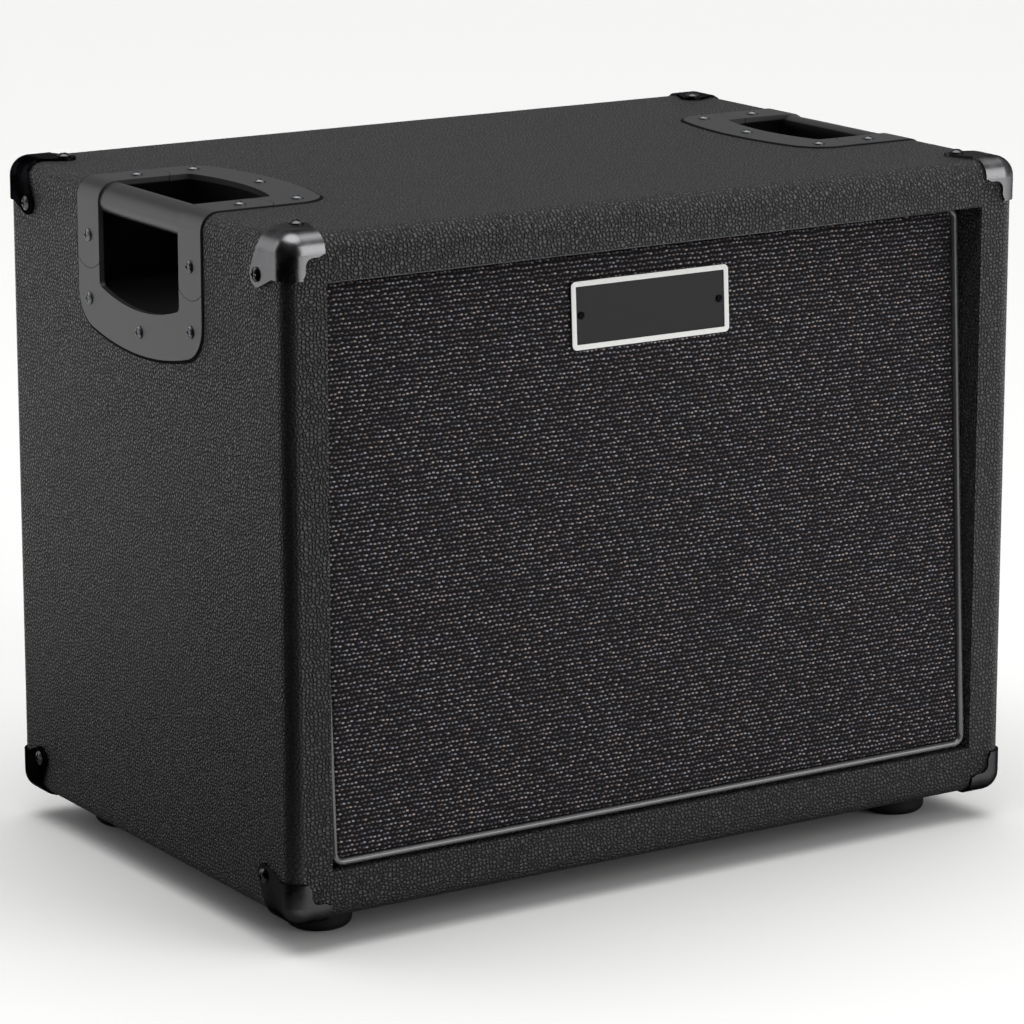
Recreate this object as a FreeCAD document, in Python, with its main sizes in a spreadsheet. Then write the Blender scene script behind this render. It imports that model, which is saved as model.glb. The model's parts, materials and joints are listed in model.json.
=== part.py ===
import FreeCAD, Part
import math
import os
from types import SimpleNamespace

import Sketcher
from FreeCAD import Placement, Rotation, Vector

# Driving dimensions in millimetres. Every length of the cabinet is set here, once.
sizes = {
    # box, measured over its covering
    "cabinet_width": 505.0,
    "cabinet_depth": 334.0,
    "cabinet_height": 392.0,
    "edge_radius": 10.5,
    "vinyl_gauge": 0.8,
    "board_gauge": 18.0,
    # front edge as it shows round the opening, and how far the cloth lies behind it
    "face_side": 26.3,
    "face_top": 26.8,
    "face_bottom": 29.0,
    "set_back_bottom": 3.8,
    "set_back_top": 22.4,
    # grille
    "grille_gap": 1.5,
    "grille_corner_radius": 8.0,
    "piping_diameter": 4.0,
    "piping_tail_gauge": 1.0,
    "cloth_gauge": 0.8,
    "rail_gauge": 12.0,
    "rail_width": 30.0,
    "top_rail_width": 46.0,
    "piping_tail": 10.0,
    "pad_gauge": 1.5,
    "pad_width": 20.0,
    "pad_length": 50.0,
    "pad_inset": 40.0,
    # badge
    "badge_width": 109.0,
    "badge_height": 39.5,
    "badge_drop": 47.3,
    "badge_gauge": 1.6,
    "badge_border": 3.0,
    "badge_border_rise": 0.6,
    "badge_corner_radius": 3.0,
    "badge_screw_inset": 6.5,
    # baffle and back
    "baffle_gauge": 18.0,
    "board_clearance": 0.5,
    "back_gauge": 12.0,
    "back_set_in": 8.0,
    "back_clearance": 1.0,
    "batten": 20.0,
    "back_screw_inset": 10.0,
    # corner bar handles
    "handle_length": 148.0,
    "handle_reach": 92.7,
    "handle_bow": 12.3,
    "handle_corner_radius": 22.0,
    "handle_gauge": 3.0,
    "handle_proud": 0.8,
    "handle_gap": 0.8,
    "window_length": 96.0,
    "window_reach": 67.2,
    "window_bow": 7.7,
    "window_corner_radius": 4.0,
    "scoop_radius": 34.0,
    "dish_wall": 2.5,
    "bar_thickness": 18.0,
    "bar_outer_radius": 12.0,
    "bar_inner_radius": 7.0,
    "strap_reach": 46.0,
    "strap_bow": 5.0,
    "strap_seam": 0.3,
    "notch_clearance": 1.2,
    "handle_screw_strap": 31.8,
    "handle_screw_plate": 69.2,
    "handle_screw_middle": 79.4,
    # corner protectors
    "corner_gauge": 1.5,
    "corner_gap": 0.2,
    "corner_arm": 24.5,
    "corner_lip": 12.0,
    "corner_lip_round": 5.0,
    "corner_waist": 27.5,
    "corner_waist_drop": 6.0,
    "corner_tab_round": 7.1,
    "corner_screw_back": 28.8,
    "corner_screw_drop": 24.0,
    # feet
    "foot_height": 18.5,
    "foot_diameter": 38.5,
    "foot_round": 5.0,
    "foot_inset_side": 46.0,
    "foot_inset_front": 50.0,
    "foot_well_diameter": 17.0,
    "foot_floor": 7.0,
    "foot_washer_gauge": 1.5,
    # loudspeaker, depths counted from the back of the baffle
    "ledge_diameter": 254.0,
    "ledge_width": 10.4,
    "ledge_depth": 12.0,
    "step_clearance": 3.0,
    "flange_lap": 12.2,
    "bolt_inset": 5.5,
    "gasket_gauge": 3.0,
    "basket_gauge": 1.5,
    "basket_well_diameter": 126.0,
    "basket_depth": 81.5,
    "spider_ledge_width": 15.0,
    "spider_ledge_depth": 66.0,
    "window_rim_outer": 7.0,
    "window_rim_inner": 4.0,
    "surround_width": 13.0,
    "cone_lip": 5.0,
    "cone_gauge": 1.0,
    "cone_depth": 50.0,
    "surround_gauge": 0.8,
    "roll_height": 1.8,
    "dust_cap_diameter": 90.0,
    "dust_cap_rise": 15.5,
    "dust_cap_gauge": 0.8,
    "coil_diameter": 45.0,
    "former_gauge": 0.4,
    "former_length": 36.0,
    "winding_gauge": 0.8,
    "winding_length": 14.0,
    "coil_clearance": 0.8,
    "spider_gauge": 0.7,
    "spider_wave": 1.6,
    "spider_flat": 5.0,
    "front_plate_diameter": 120.0,
    "front_plate_gauge": 8.0,
    "magnet_diameter": 156.0,
    "magnet_bore": 64.0,
    "magnet_gauge": 20.0,
    "back_plate_diameter": 124.0,
    "back_plate_gauge": 8.0,
    "vent_diameter": 14.0,
    "glue_line": 0.1,
    "terminal_width": 26.0,
    "terminal_height": 10.0,
    "tag_width": 6.3,
    "tag_gauge": 0.8,
    "tag_length": 9.0,
    "tag_spread": 7.0,
    "tag_rise": 4.0,
    "terminal_depth": 11.5,
    "tinsel_diameter": 1.6,
    "tinsel_bow": 6.0,
    "wire_diameter": 2.6,
    "wire_run": 34.0,
    "wire_sag": 9.0,
    "wire_spread": 4.0,
    "link_diameter": 1.4,
    "link_spread": 5.0,
    # sockets on the back
    "jack_plate_width": 104.0,
    "jack_plate_height": 54.0,
    "jack_plate_gauge": 1.5,
    "jack_plate_round": 5.0,
    "jack_plate_rise": 74.0,
    "jack_plate_screw_inset": 7.0,
    "jack_cut_width": 74.0,
    "jack_cut_height": 34.0,
    "jack_spread": 18.0,
    "jack_bore": 6.5,
    "jack_bore_depth": 30.0,
    "jack_bush_diameter": 9.4,
    "jack_bush_rise": 4.2,
    "jack_body_width": 18.0,
    "jack_body_height": 24.0,
    "jack_body_depth": 28.0,
    "jack_nut_flats": 13.0,
    "jack_nut_gauge": 2.4,
    "jack_fit": 0.15,
    # fasteners
    "screw_clearance": 0.1,
    "corner_screw_head": 8.6,
    "corner_screw_rise": 2.4,
    "corner_screw_shank": 3.5,
    "corner_screw_length": 15.0,
    "handle_screw_head": 7.5,
    "handle_screw_rise": 1.8,
    "handle_screw_shank": 3.5,
    "handle_screw_length": 15.0,
    "badge_screw_head": 4.6,
    "badge_screw_rise": 1.2,
    "badge_screw_shank": 2.0,
    "badge_screw_length": 8.0,
    "foot_screw_head": 9.0,
    "foot_screw_rise": 3.0,
    "foot_screw_shank": 4.5,
    "foot_screw_length": 26.0,
    "back_screw_head": 8.0,
    "back_screw_rise": 2.4,
    "back_screw_shank": 4.0,
    "back_screw_length": 28.0,
    "plate_screw_head": 6.4,
    "plate_screw_rise": 1.8,
    "plate_screw_shank": 3.0,
    "plate_screw_length": 11.0,
    "bolt_head": 9.5,
    "bolt_rise": 3.4,
    "bolt_shank": 5.0,
    "bolt_length": 20.0,
    "tee_nut_flange": 14.0,
    "tee_nut_gauge": 1.2,
    "tee_nut_barrel": 6.4,
    "tee_nut_length": 11.0,
    "tee_nut_fit": 0.2,
}

# Shares and counts that give shapes their proportions.
cross_slot_share = 0.16
cross_reach_share = 0.33
cross_depth_share = 0.6
head_edge_share = 0.33
bend_share = 0.45
half_share = 0.5
leg_share = 0.3
window_count = 6
bolt_count = 8
spider_waves = 4
surround_rolls = 2

doc = FreeCAD.newDocument("guitar_speaker_cabinet")
sheet = doc.addObject("Spreadsheet::Sheet", "dims")
for row, (name, value) in enumerate(sizes.items(), start=1):
    sheet.set(f"A{row}", name)
    sheet.set(f"B{row}", str(value))
    sheet.setAlias(f"B{row}", name)
doc.recompute()


class Formula:
    """A number together with the sheet expression that gives it."""

    def __init__(self, value, text):
        self.value = value
        self.text = text

    def __add__(self, other):
        other = formula(other)
        return Formula(self.value + other.value, f"({self.text} + {other.text})")

    def __sub__(self, other):
        other = formula(other)
        return Formula(self.value - other.value, f"({self.text} - {other.text})")

    def __mul__(self, other):
        other = formula(other)
        return Formula(self.value * other.value, f"({self.text} * {other.text})")

    def __truediv__(self, other):
        other = formula(other)
        return Formula(self.value / other.value, f"({self.text} / {other.text})")

    def __neg__(self):
        return Formula(-self.value, f"(0 - {self.text})")

    def __radd__(self, other):
        return formula(other) + self

    def __rsub__(self, other):
        return formula(other) - self

    def __rmul__(self, other):
        return formula(other) * self


def formula(thing):
    if isinstance(thing, Formula):
        return thing
    return Formula(float(thing), str(thing))


def arctangent(ratio):
    return Formula(math.degrees(math.atan(ratio.value)), f"atan({ratio.text})")


def sine(angle):
    return Formula(math.sin(math.radians(angle.value)), f"sin({angle.text})")


def cosine(angle):
    return Formula(math.cos(math.radians(angle.value)), f"cos({angle.text})")


# The same sizes as formulas for features, and as numbers read back from the sheet for shapes made in code.
size = SimpleNamespace(**{name: Formula(float(sheet.get(name)), f"dims.{name}") for name in sizes})
mm = SimpleNamespace(**{name: float(sheet.get(name)) for name in sizes})
nodes = []


def bind(thing, **slots):
    for slot, value in slots.items():
        thing.setExpression(slot.replace("_at_", "."), formula(value).text)


def keep(thing, label):
    thing.Label = label
    nodes.append(thing)
    return thing


def joined(kind, label, base, tool):
    thing = doc.addObject(kind, label)
    thing.Base = base
    thing.Tool = tool
    return thing


def cut(label, base, *tools):
    for tool in tools:
        base = joined("Part::Cut", label, base, tool)
    return base


def common(label, base, tool):
    return joined("Part::Common", label, base, tool)


def fused(label, *pieces):
    thing = doc.addObject("Part::MultiFuse", label)
    thing.Shapes = list(pieces)
    return thing


def solid(label, shape, placement=None):
    thing = doc.addObject("Part::Feature", label)
    thing.Shape = shape
    if placement is not None:
        thing.Placement = placement
    return thing


def mirrored(label, source, normal, base_z=formula(0)):
    thing = doc.addObject("Part::Mirroring", label)
    thing.Source = source
    thing.Normal = normal
    thing.setExpression("Base.z", base_z.text)
    return thing


# Main levels of the box. The origin is on the ground under its middle, the front faces -Y.
half_width = size.cabinet_width / 2
half_depth = size.cabinet_depth / 2
underside = size.foot_height
roof = size.foot_height + size.cabinet_height
middle_height = size.foot_height + size.cabinet_height / 2
inside_half = half_width - size.vinyl_gauge - size.board_gauge
inside_low = underside + size.vinyl_gauge + size.board_gauge
inside_high = roof - size.vinyl_gauge - size.board_gauge
opening_half = half_width - size.face_side
opening_low = underside + size.face_bottom
opening_high = roof - size.face_top

# The leaning frame of grille, baffle and loudspeaker. Depth runs into the box, up runs along the grille.
lean = arctangent((size.set_back_top - size.set_back_bottom) / (opening_high - opening_low))
lean_y = size.set_back_bottom - half_depth
lean_z = opening_low
lean_length = (opening_high - opening_low) / cosine(lean)
pad_depth = size.cloth_gauge + size.rail_gauge
baffle_front = pad_depth + 2 * size.pad_gauge
baffle_back = baffle_front + size.baffle_gauge
speaker_up = (middle_height - lean_z + baffle_back * sine(lean)) / cosine(lean)
no_turn = Formula(0.0, "0 deg")
quarter_turn = Formula(90.0, "90 deg")


def leaning(thing, x, depth, up, turn=no_turn):
    thing.Placement = Placement(Vector(), Rotation(Vector(-1, 0, 0), lean.value))
    bind(
        thing,
        Placement_at_Base_at_x=x,
        Placement_at_Base_at_y=lean_y + depth * cosine(lean) + up * sine(lean),
        Placement_at_Base_at_z=lean_z - depth * sine(lean) + up * cosine(lean),
        Placement_at_Rotation_at_Angle=lean + turn,
    )
    return thing


def leaning_place(depth, up, turn=no_turn):
    turned_by = Rotation(Vector(-1, 0, 0), lean.value)
    start = Vector(0, lean_y.value, lean_z.value)
    offset = turned_by.multVec(Vector(0, depth.value, up.value))
    return Placement(start + offset, Rotation(Vector(-1, 0, 0), (lean + turn).value))


speaker_place = leaning_place(baffle_back, speaker_up, quarter_turn)


# Boxes given by the low and high formula of each side.
def board(label, x, y, z):
    thing = doc.addObject("Part::Box", label)
    bind(
        thing,
        Length=x[1] - x[0],
        Width=y[1] - y[0],
        Height=z[1] - z[0],
        Placement_at_Base_at_x=x[0],
        Placement_at_Base_at_y=y[0],
        Placement_at_Base_at_z=z[0],
    )
    return thing


def leaning_board(label, x, depth, up):
    thing = doc.addObject("Part::Box", label)
    bind(thing, Length=x[1] - x[0], Width=depth[1] - depth[0], Height=up[1] - up[0])
    return leaning(thing, x[0], depth[0], up[0])


def both_ways(half):
    return (-half, half)


# Bodies with an origin, sketches and features.
def origin_feature(body, role):
    for feature in body.Origin.OriginFeatures:
        if feature.Role == role:
            return feature
    raise RuntimeError(f"no {role} in {body.Label}")


def start_sketch(body, label, plane):
    sketch = body.newObject("Sketcher::SketchObject", label)
    sketch.AttachmentSupport = (origin_feature(body, plane), "")
    sketch.MapMode = "FlatFace"
    return sketch


def arc_between(start, end, radius):
    # A positive radius bulges to the right of the way from start to end.
    middle = (start + end) * half_share
    chord = end - start
    half = chord.Length / 2
    right = Vector(chord.y, -chord.x, 0).normalize()
    sagitta = abs(radius) - math.sqrt(max(radius * radius - half * half, 0))
    return Part.Arc(start, middle + right * math.copysign(sagitta, radius), end)


def pin(sketch, line, end, across, along):
    for value, kind, axis in ((across, "DistanceX", -2), (along, "DistanceY", -1)):
        if value.text == "0":
            sketch.addConstraint(Sketcher.Constraint("PointOnObject", line, end, axis))
        else:
            row = sketch.addConstraint(Sketcher.Constraint(kind, -1, 1, line, end, value.value))
            sketch.setExpression(f"Constraints[{row}]", value.text)


def draw(sketch, corners):
    # Each corner is (across, along), with the radius of an arc to the next corner where there is one.
    corners = [tuple(formula(value) for value in corner) for corner in corners]
    spots = [Vector(corner[0].value, corner[1].value, 0) for corner in corners]
    ends = []
    for number, corner in enumerate(corners):
        start = spots[number]
        end = spots[(number + 1) % len(spots)]
        if len(corner) > 2:
            line = sketch.addGeometry(arc_between(start, end, corner[2].value))
        else:
            line = sketch.addGeometry(Part.LineSegment(start, end))
        near, far = sorted((1, 2), key=lambda which: (sketch.getPoint(line, which) - start).Length)
        ends.append((line, near, far))
    for number, corner in enumerate(corners):
        line, near, far = ends[number]
        previous, _, previous_far = ends[number - 1]
        sketch.addConstraint(Sketcher.Constraint("Coincident", previous, previous_far, line, near))
        pin(sketch, line, near, corner[0], corner[1])
        if len(corner) > 2:
            following = corners[(number + 1) % len(corners)]
            if "0" in (corner[0].text, following[0].text):
                # An arc that ends on the axis is centred on it.
                sketch.addConstraint(Sketcher.Constraint("PointOnObject", line, 3, -2))
            else:
                bend = Formula(abs(corner[2].value), f"abs({corner[2].text})")
                row = sketch.addConstraint(Sketcher.Constraint("Radius", line, bend.value))
                sketch.setExpression(f"Constraints[{row}]", bend.text)


def turned(label, corners):
    body = doc.addObject("PartDesign::Body", label)
    sketch = start_sketch(body, label + "_profile", "XZ_Plane")
    draw(sketch, corners)
    turn = body.newObject("PartDesign::Revolution", label + "_turn")
    turn.Profile = sketch
    turn.ReferenceAxis = (sketch, ["V_Axis"])
    turn.Angle = 360
    body.Tip = turn
    return body


def ring(label, inner, outer, low, high):
    return turned(label, [(inner, low), (outer, low), (outer, high), (inner, high)])


def pocket_ring(body, label, sketch, count):
    # Cuts the sketch right through and repeats it round the body's axis.
    doc.recompute()
    pocket = body.newObject("PartDesign::Pocket", label)
    pocket.Profile = sketch
    pocket.Type = "ThroughAll"
    pocket.SideType = "Symmetric"
    pattern = body.newObject("PartDesign::PolarPattern", label + "_pattern")
    pattern.Originals = [pocket]
    pattern.Axis = (origin_feature(body, "Z_Axis"), [""])
    pattern.Angle = 360
    pattern.Occurrences = count
    body.Tip = pattern


def drill_ring(body, label, pitch, diameter, count):
    sketch = start_sketch(body, label + "_circle", "XY_Plane")
    angle = math.pi / count
    spot = Vector(math.cos(angle), math.sin(angle), 0) * (pitch.value / 2)
    circle = sketch.addGeometry(Part.Circle(spot, Vector(0, 0, 1), diameter.value / 2))
    pin(sketch, circle, 3, pitch / 2 * math.cos(angle), pitch / 2 * math.sin(angle))
    row = sketch.addConstraint(Sketcher.Constraint("Diameter", circle, diameter.value))
    sketch.setExpression(f"Constraints[{row}]", diameter.text)
    pocket_ring(body, label, sketch, count)


def rounded_block(label, grow):
    # The box of the cabinet, grown or shrunk on all sides, with every edge rounded.
    body = doc.addObject("PartDesign::Body", label)
    box = body.newObject("PartDesign::AdditiveBox", label + "_box")
    bind(
        box,
        Length=size.cabinet_width + 2 * grow,
        Width=size.cabinet_depth + 2 * grow,
        Height=size.cabinet_height + 2 * grow,
    )
    doc.recompute()
    fillet = body.newObject("PartDesign::Fillet", label + "_fillet")
    fillet.Base = (box, ["Edge1"])
    fillet.UseAllEdges = True
    bind(fillet, Radius=size.edge_radius + grow)
    bind(
        body,
        Placement_at_Base_at_x=-(half_width + grow),
        Placement_at_Base_at_y=-(half_depth + grow),
        Placement_at_Base_at_z=underside - grow,
    )
    body.Tip = fillet
    return body


def eased_box(label, wide, deep, high, radius):
    # A box whose four edges along its depth are rounded.
    body = doc.addObject("PartDesign::Body", label)
    box = body.newObject("PartDesign::AdditiveBox", label + "_box")
    bind(box, Length=wide, Width=deep, Height=high)
    doc.recompute()
    fillet = body.newObject("PartDesign::Fillet", label + "_fillet")
    along_depth = []
    for number, edge in enumerate(box.Shape.Edges, start=1):
        if abs(edge.tangentAt(edge.FirstParameter).y) > 0.5:
            along_depth.append(f"Edge{number}")
    fillet.Base = (box, along_depth)
    bind(fillet, Radius=radius)
    body.Tip = fillet
    return body


def grille_block(label, inset, depth):
    # The outline of the grille, shrunk by an inset.
    half = opening_half - size.grille_gap - inset
    low = size.grille_gap + inset
    body = eased_box(
        label, 2 * half, depth[1] - depth[0], lean_length - 2 * low, size.grille_corner_radius - inset
    )
    return leaning(body, -half, depth[0], low)


# Fasteners: a head on its seat at the origin with the shank running down, and a cross in the head.
def screw_shape(head, rise, shank, length):
    edge = rise * head_edge_share
    ball = ((head / 2) ** 2 + (rise - edge) ** 2) / (2 * (rise - edge))
    centre = rise - ball
    rim = Vector(head / 2, 0, edge)
    bend_angle = math.asin(head / 2 / ball) / 2
    middle = Vector(ball * math.sin(bend_angle), 0, centre + ball * math.cos(bend_angle))
    top = Vector(0, 0, rise)
    point = Vector(0, 0, -length)
    taper = Vector(shank / 2, 0, shank - length)
    lines = [
        Part.LineSegment(Vector(head / 2, 0, 0), rim),
        Part.Arc(rim, middle, top),
        Part.LineSegment(top, point),
        Part.LineSegment(point, taper),
        Part.LineSegment(taper, Vector(shank / 2, 0, 0)),
        Part.LineSegment(Vector(shank / 2, 0, 0), Vector(head / 2, 0, 0)),
    ]
    profile = Part.Face(Part.Wire([line.toShape() for line in lines]))
    screw = profile.revolve(Vector(), Vector(0, 0, 1), 360)
    reach = head * cross_reach_share
    slot = head * cross_slot_share
    depth = rise * cross_depth_share
    bar = Part.makeBox(2 * reach, slot, rise, Vector(-reach, -slot / 2, rise - depth))
    other_bar = Part.makeBox(slot, 2 * reach, rise, Vector(-slot / 2, -reach, rise - depth))
    return screw.cut(bar.fuse(other_bar))


def named_screw(kind):
    return screw_shape(*(getattr(mm, f"{kind}_screw_{part}") for part in ("head", "rise", "shank", "length")))


def group(shape, places):
    copies = []
    for place in places:
        copy = shape.copy()
        copy.Placement = place
        copies.append(copy)
    return Part.makeCompound(copies)


def drills(label, kind, places):
    # Holes for screws of one kind, a clearance wider than the shank and a little longer.
    radius = getattr(mm, f"{kind}_screw_shank") / 2 + mm.screw_clearance
    length = getattr(mm, f"{kind}_screw_length") + mm.screw_clearance
    rise = getattr(mm, f"{kind}_screw_rise")
    hole = Part.makeCylinder(radius, length + rise, Vector(0, 0, -length))
    return solid(label, group(hole, places))


def facing(position, outward):
    return Placement(Vector(*position), Rotation(Vector(0, 0, 1), Vector(*outward)))


def together(label, pieces):
    thing = doc.addObject("Part::Compound", label)
    thing.Links = list(pieces)
    return thing


def leaning_spot(x, depth, up, outward):
    place = leaning_place(depth, up)
    turned_to = place.Rotation * Rotation(Vector(0, 0, 1), Vector(*outward))
    return Placement(place.Base + Vector(x, 0, 0), turned_to)


# Blocks that the box, its covering and its fittings are cut from.
outer_block = rounded_block("outer_block", formula(0))
core_block = rounded_block("core_block", -size.vinyl_gauge)
corner_outside = rounded_block("corner_outside", size.corner_gap + size.corner_gauge)
corner_inside = rounded_block("corner_inside", size.corner_gap)
plate_outside = rounded_block("plate_outside", size.handle_proud)
plate_inside = rounded_block("plate_inside", size.handle_proud - size.handle_gauge)
rebate_floor = rounded_block("rebate_floor", size.handle_proud - size.handle_gauge - size.glue_line)
seam_floor = rounded_block("seam_floor", size.handle_proud - size.handle_gauge - size.strap_seam)
baffle_space = leaning_board(
    "baffle_space",
    both_ways(half_width),
    (baffle_front, baffle_front + size.cabinet_depth),
    (-size.cabinet_height, 2 * size.cabinet_height),
)
doc.recompute()

left_face = -half_width.value
front_face = -half_depth.value
top_face = roof.value


# Outlines drawn on the left face beside the top edge, and the same laid on the top by a mirror at 45 degrees.
def side_prism(centre, half_length, reach, bow, corner_radius, depth):
    outside = mm.edge_radius
    x = left_face - outside
    top = top_face + outside
    low = top_face - reach + bow
    near = centre - half_length
    far = centre + half_length
    lines = [
        Part.LineSegment(Vector(x, near, top), Vector(x, near, low)),
        Part.Arc(Vector(x, near, low), Vector(x, centre, top_face - reach), Vector(x, far, low)),
        Part.LineSegment(Vector(x, far, low), Vector(x, far, top)),
        Part.LineSegment(Vector(x, far, top), Vector(x, near, top)),
    ]
    face = Part.Face(Part.Wire([line.toShape() for line in lines]))
    prism = face.extrude(Vector(outside + depth, 0, 0))
    if corner_radius:
        corners = []
        for edge in prism.Edges:
            ends = [vertex.Point for vertex in edge.Vertexes]
            if abs(ends[0].x - ends[1].x) > outside and all(abs(end.z - low) < bow / 2 for end in ends):
                corners.append(edge)
        prism = prism.makeFillet(corner_radius, corners)
    return prism


def on_top(shape):
    return shape.mirror(Vector(left_face, 0, top_face), Vector(1, 0, 1))


def both_faces(shape):
    return shape.fuse(on_top(shape))


# Left handle: dish with its two plates, and grip with two straps.
wrap_depth = mm.edge_radius + mm.handle_gauge
window_half = mm.window_length / 2
strap_half = (mm.handle_length - mm.window_length) / 4
strap_centre = (mm.handle_length + mm.window_length) / 4


def handle_stencil(grow):
    return both_faces(
        side_prism(
            0,
            mm.handle_length / 2 + grow,
            mm.handle_reach + grow,
            mm.handle_bow,
            mm.handle_corner_radius + grow,
            wrap_depth,
        )
    )


def strap_stencil(grow):
    straps = []
    for centre in (-strap_centre, strap_centre):
        straps.append(
            side_prism(
                centre,
                strap_half + grow,
                mm.strap_reach + mm.strap_bow + grow,
                mm.strap_bow,
                0,
                wrap_depth,
            )
        )
    return both_faces(straps[0].fuse(straps[1]))


def hand_space(grow):
    # The hollow that the fingers use, with a rounded scoop where its floor meets its wall.
    reach = mm.window_reach + grow
    side = side_prism(0, window_half + grow, reach, mm.window_bow, mm.window_corner_radius + grow, 2 * reach)
    hollow = side.common(on_top(side))
    axis_at = mm.window_reach - mm.scoop_radius
    corner = Vector(left_face + axis_at, -mm.handle_length, top_face - axis_at - 2 * reach)
    filling = Part.makeBox(2 * reach, 2 * mm.handle_length, 2 * reach, corner)
    axis_point = Vector(left_face + axis_at, -mm.handle_length, top_face - axis_at)
    round_off = Part.makeCylinder(mm.scoop_radius + grow, 2 * mm.handle_length, axis_point, Vector(0, 1, 0))
    return hollow.cut(filling.cut(round_off))


plate_shell = plate_outside.Shape.cut(plate_inside.Shape)
fingers = hand_space(0)
bucket = hand_space(mm.dish_wall).cut(fingers).common(plate_outside.Shape)
strap_room = strap_stencil(mm.strap_seam).cut(seam_floor.Shape)
dish = plate_shell.common(handle_stencil(0)).cut(fingers).fuse(bucket).cut(strap_room).removeSplitter()

bar = Part.makeBox(
    mm.bar_thickness,
    mm.window_length,
    mm.bar_thickness,
    Vector(left_face, -window_half, top_face - mm.bar_thickness),
)
outer_edge = []
inner_edges = []
for edge in bar.Edges:
    ends = [vertex.Point for vertex in edge.Vertexes]
    if abs(ends[0].y - ends[1].y) < window_half:
        continue
    if ends[0].x < left_face + mm.dish_wall and ends[0].z > top_face - mm.dish_wall:
        outer_edge.append(edge)
    else:
        inner_edges.append((ends[0].x, ends[0].z))
bar = bar.makeFillet(mm.bar_outer_radius, outer_edge)
inner_edges = [
    edge
    for edge in bar.Edges
    if (edge.Vertexes[0].Point.x, edge.Vertexes[0].Point.z) in inner_edges
    and abs(edge.Vertexes[0].Point.y - edge.Vertexes[-1].Point.y) > window_half
]
bar = bar.makeFillet(mm.bar_inner_radius, inner_edges)
grip = plate_shell.common(strap_stencil(0)).fuse(bar).removeSplitter()

handle_spots = []
for along in (-strap_centre, strap_centre):
    for away in (mm.handle_screw_strap, mm.handle_screw_plate):
        handle_spots.append((along, away))
handle_spots.append((0, mm.handle_screw_middle))


def handle_places(side):
    places = []
    for along, away in handle_spots:
        outside = half_width.value + mm.handle_proud
        places.append(facing((side * outside, along, top_face - away), (side, 0, 0)))
        inside = half_width.value - away
        places.append(facing((side * inside, along, top_face + mm.handle_proud), (0, 0, 1)))
    return places


handle_drills = {
    "left": drills("handle_drills_left", "handle", handle_places(-1)),
    "right": drills("handle_drills_right", "handle", handle_places(1)),
}
dish_left = cut("dish_left", solid("dish_left_moulding", dish), handle_drills["left"])
grip_left = cut("grip_left", solid("grip_left_moulding", grip), handle_drills["left"])
keep(dish_left, "handle_dish_left")
keep(grip_left, "handle_grip_left")
keep(mirrored("dish_right", dish_left, Vector(1, 0, 0)), "handle_dish_right")
keep(mirrored("grip_right", grip_left, Vector(1, 0, 0)), "handle_grip_right")
every_place = handle_places(-1) + handle_places(1)
keep(solid("handle_screw_group", group(named_screw("handle"), every_place)), "handle_screws")

rebate_left = solid("rebate_left", handle_stencil(mm.handle_gap).cut(rebate_floor.Shape))
rebate_right = mirrored("rebate_right", rebate_left, Vector(1, 0, 0))
notch_half = size.window_length / 2 + size.dish_wall + size.notch_clearance
notch_reach = size.window_reach + size.dish_wall + size.notch_clearance
notch_left = board(
    "notch_left",
    (-half_width - size.edge_radius, notch_reach - half_width),
    both_ways(notch_half),
    (roof - notch_reach, roof + size.edge_radius),
)
notch_right = mirrored("notch_right", notch_left, Vector(1, 0, 0))


# Corner protectors: one pressing, mirrored seven times.
def tangent_point(start, centre, radius, side):
    away = centre - start
    swing = side * math.asin(radius / away.Length)
    reach = math.sqrt(away.Length ** 2 - radius ** 2)
    direction = math.atan2(away.y, away.x) + swing
    return start + Vector(math.cos(direction), math.sin(direction), 0) * reach


def on_left_face(back, drop):
    return Vector(left_face - mm.edge_radius, front_face + back, top_face - drop)


tab_centre = Vector(mm.corner_screw_back, mm.corner_screw_drop, 0)
waist = Vector(mm.corner_waist, mm.corner_waist_drop, 0)
heel = Vector(mm.corner_lip, mm.corner_arm, 0)
upper = tangent_point(waist, tab_centre, mm.corner_tab_round, -1)
lower = tangent_point(heel, tab_centre, mm.corner_tab_round, 1)
tip = tab_centre + (tab_centre - (waist + heel) * half_share).normalize() * mm.corner_tab_round
before = -mm.edge_radius
flat_corners = [
    on_left_face(before, before),
    on_left_face(mm.corner_waist, before),
    on_left_face(waist.x, waist.y),
    on_left_face(upper.x, upper.y),
]
tab_lines = [Part.LineSegment(a, b) for a, b in zip(flat_corners, flat_corners[1:])]
tab_lines.append(Part.Arc(flat_corners[-1], on_left_face(tip.x, tip.y), on_left_face(lower.x, lower.y)))
flat_corners = [
    on_left_face(lower.x, lower.y),
    on_left_face(heel.x, heel.y),
    on_left_face(before, mm.corner_arm),
    on_left_face(before, before),
]
tab_lines.extend(Part.LineSegment(a, b) for a, b in zip(flat_corners, flat_corners[1:]))
tab = Part.Face(Part.Wire([line.toShape() for line in tab_lines]))
tab = tab.extrude(Vector(2 * mm.edge_radius, 0, 0))

lip_outline = []
for across, drop in (
    (before, before),
    (mm.corner_arm, before),
    (mm.corner_arm, mm.corner_lip),
    (mm.corner_lip, mm.corner_lip),
    (mm.corner_lip, mm.corner_arm),
    (before, mm.corner_arm),
    (before, before),
):
    lip_outline.append(Vector(left_face + across, front_face - mm.edge_radius, top_face - drop))
lip = Part.Face(Part.makePolygon(lip_outline)).extrude(Vector(0, 2 * mm.edge_radius, 0))
lip_edges = []
for edge in lip.Edges:
    ends = [vertex.Point for vertex in edge.Vertexes]
    on_outline = ends[0].x > left_face and ends[0].z < top_face
    if abs(ends[0].y - ends[1].y) > mm.edge_radius and on_outline:
        lip_edges.append(edge)
lip = lip.makeFillet(mm.corner_lip_round, lip_edges)
pressing = corner_outside.Shape.cut(corner_inside.Shape).common(both_faces(tab).fuse(lip))

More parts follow.
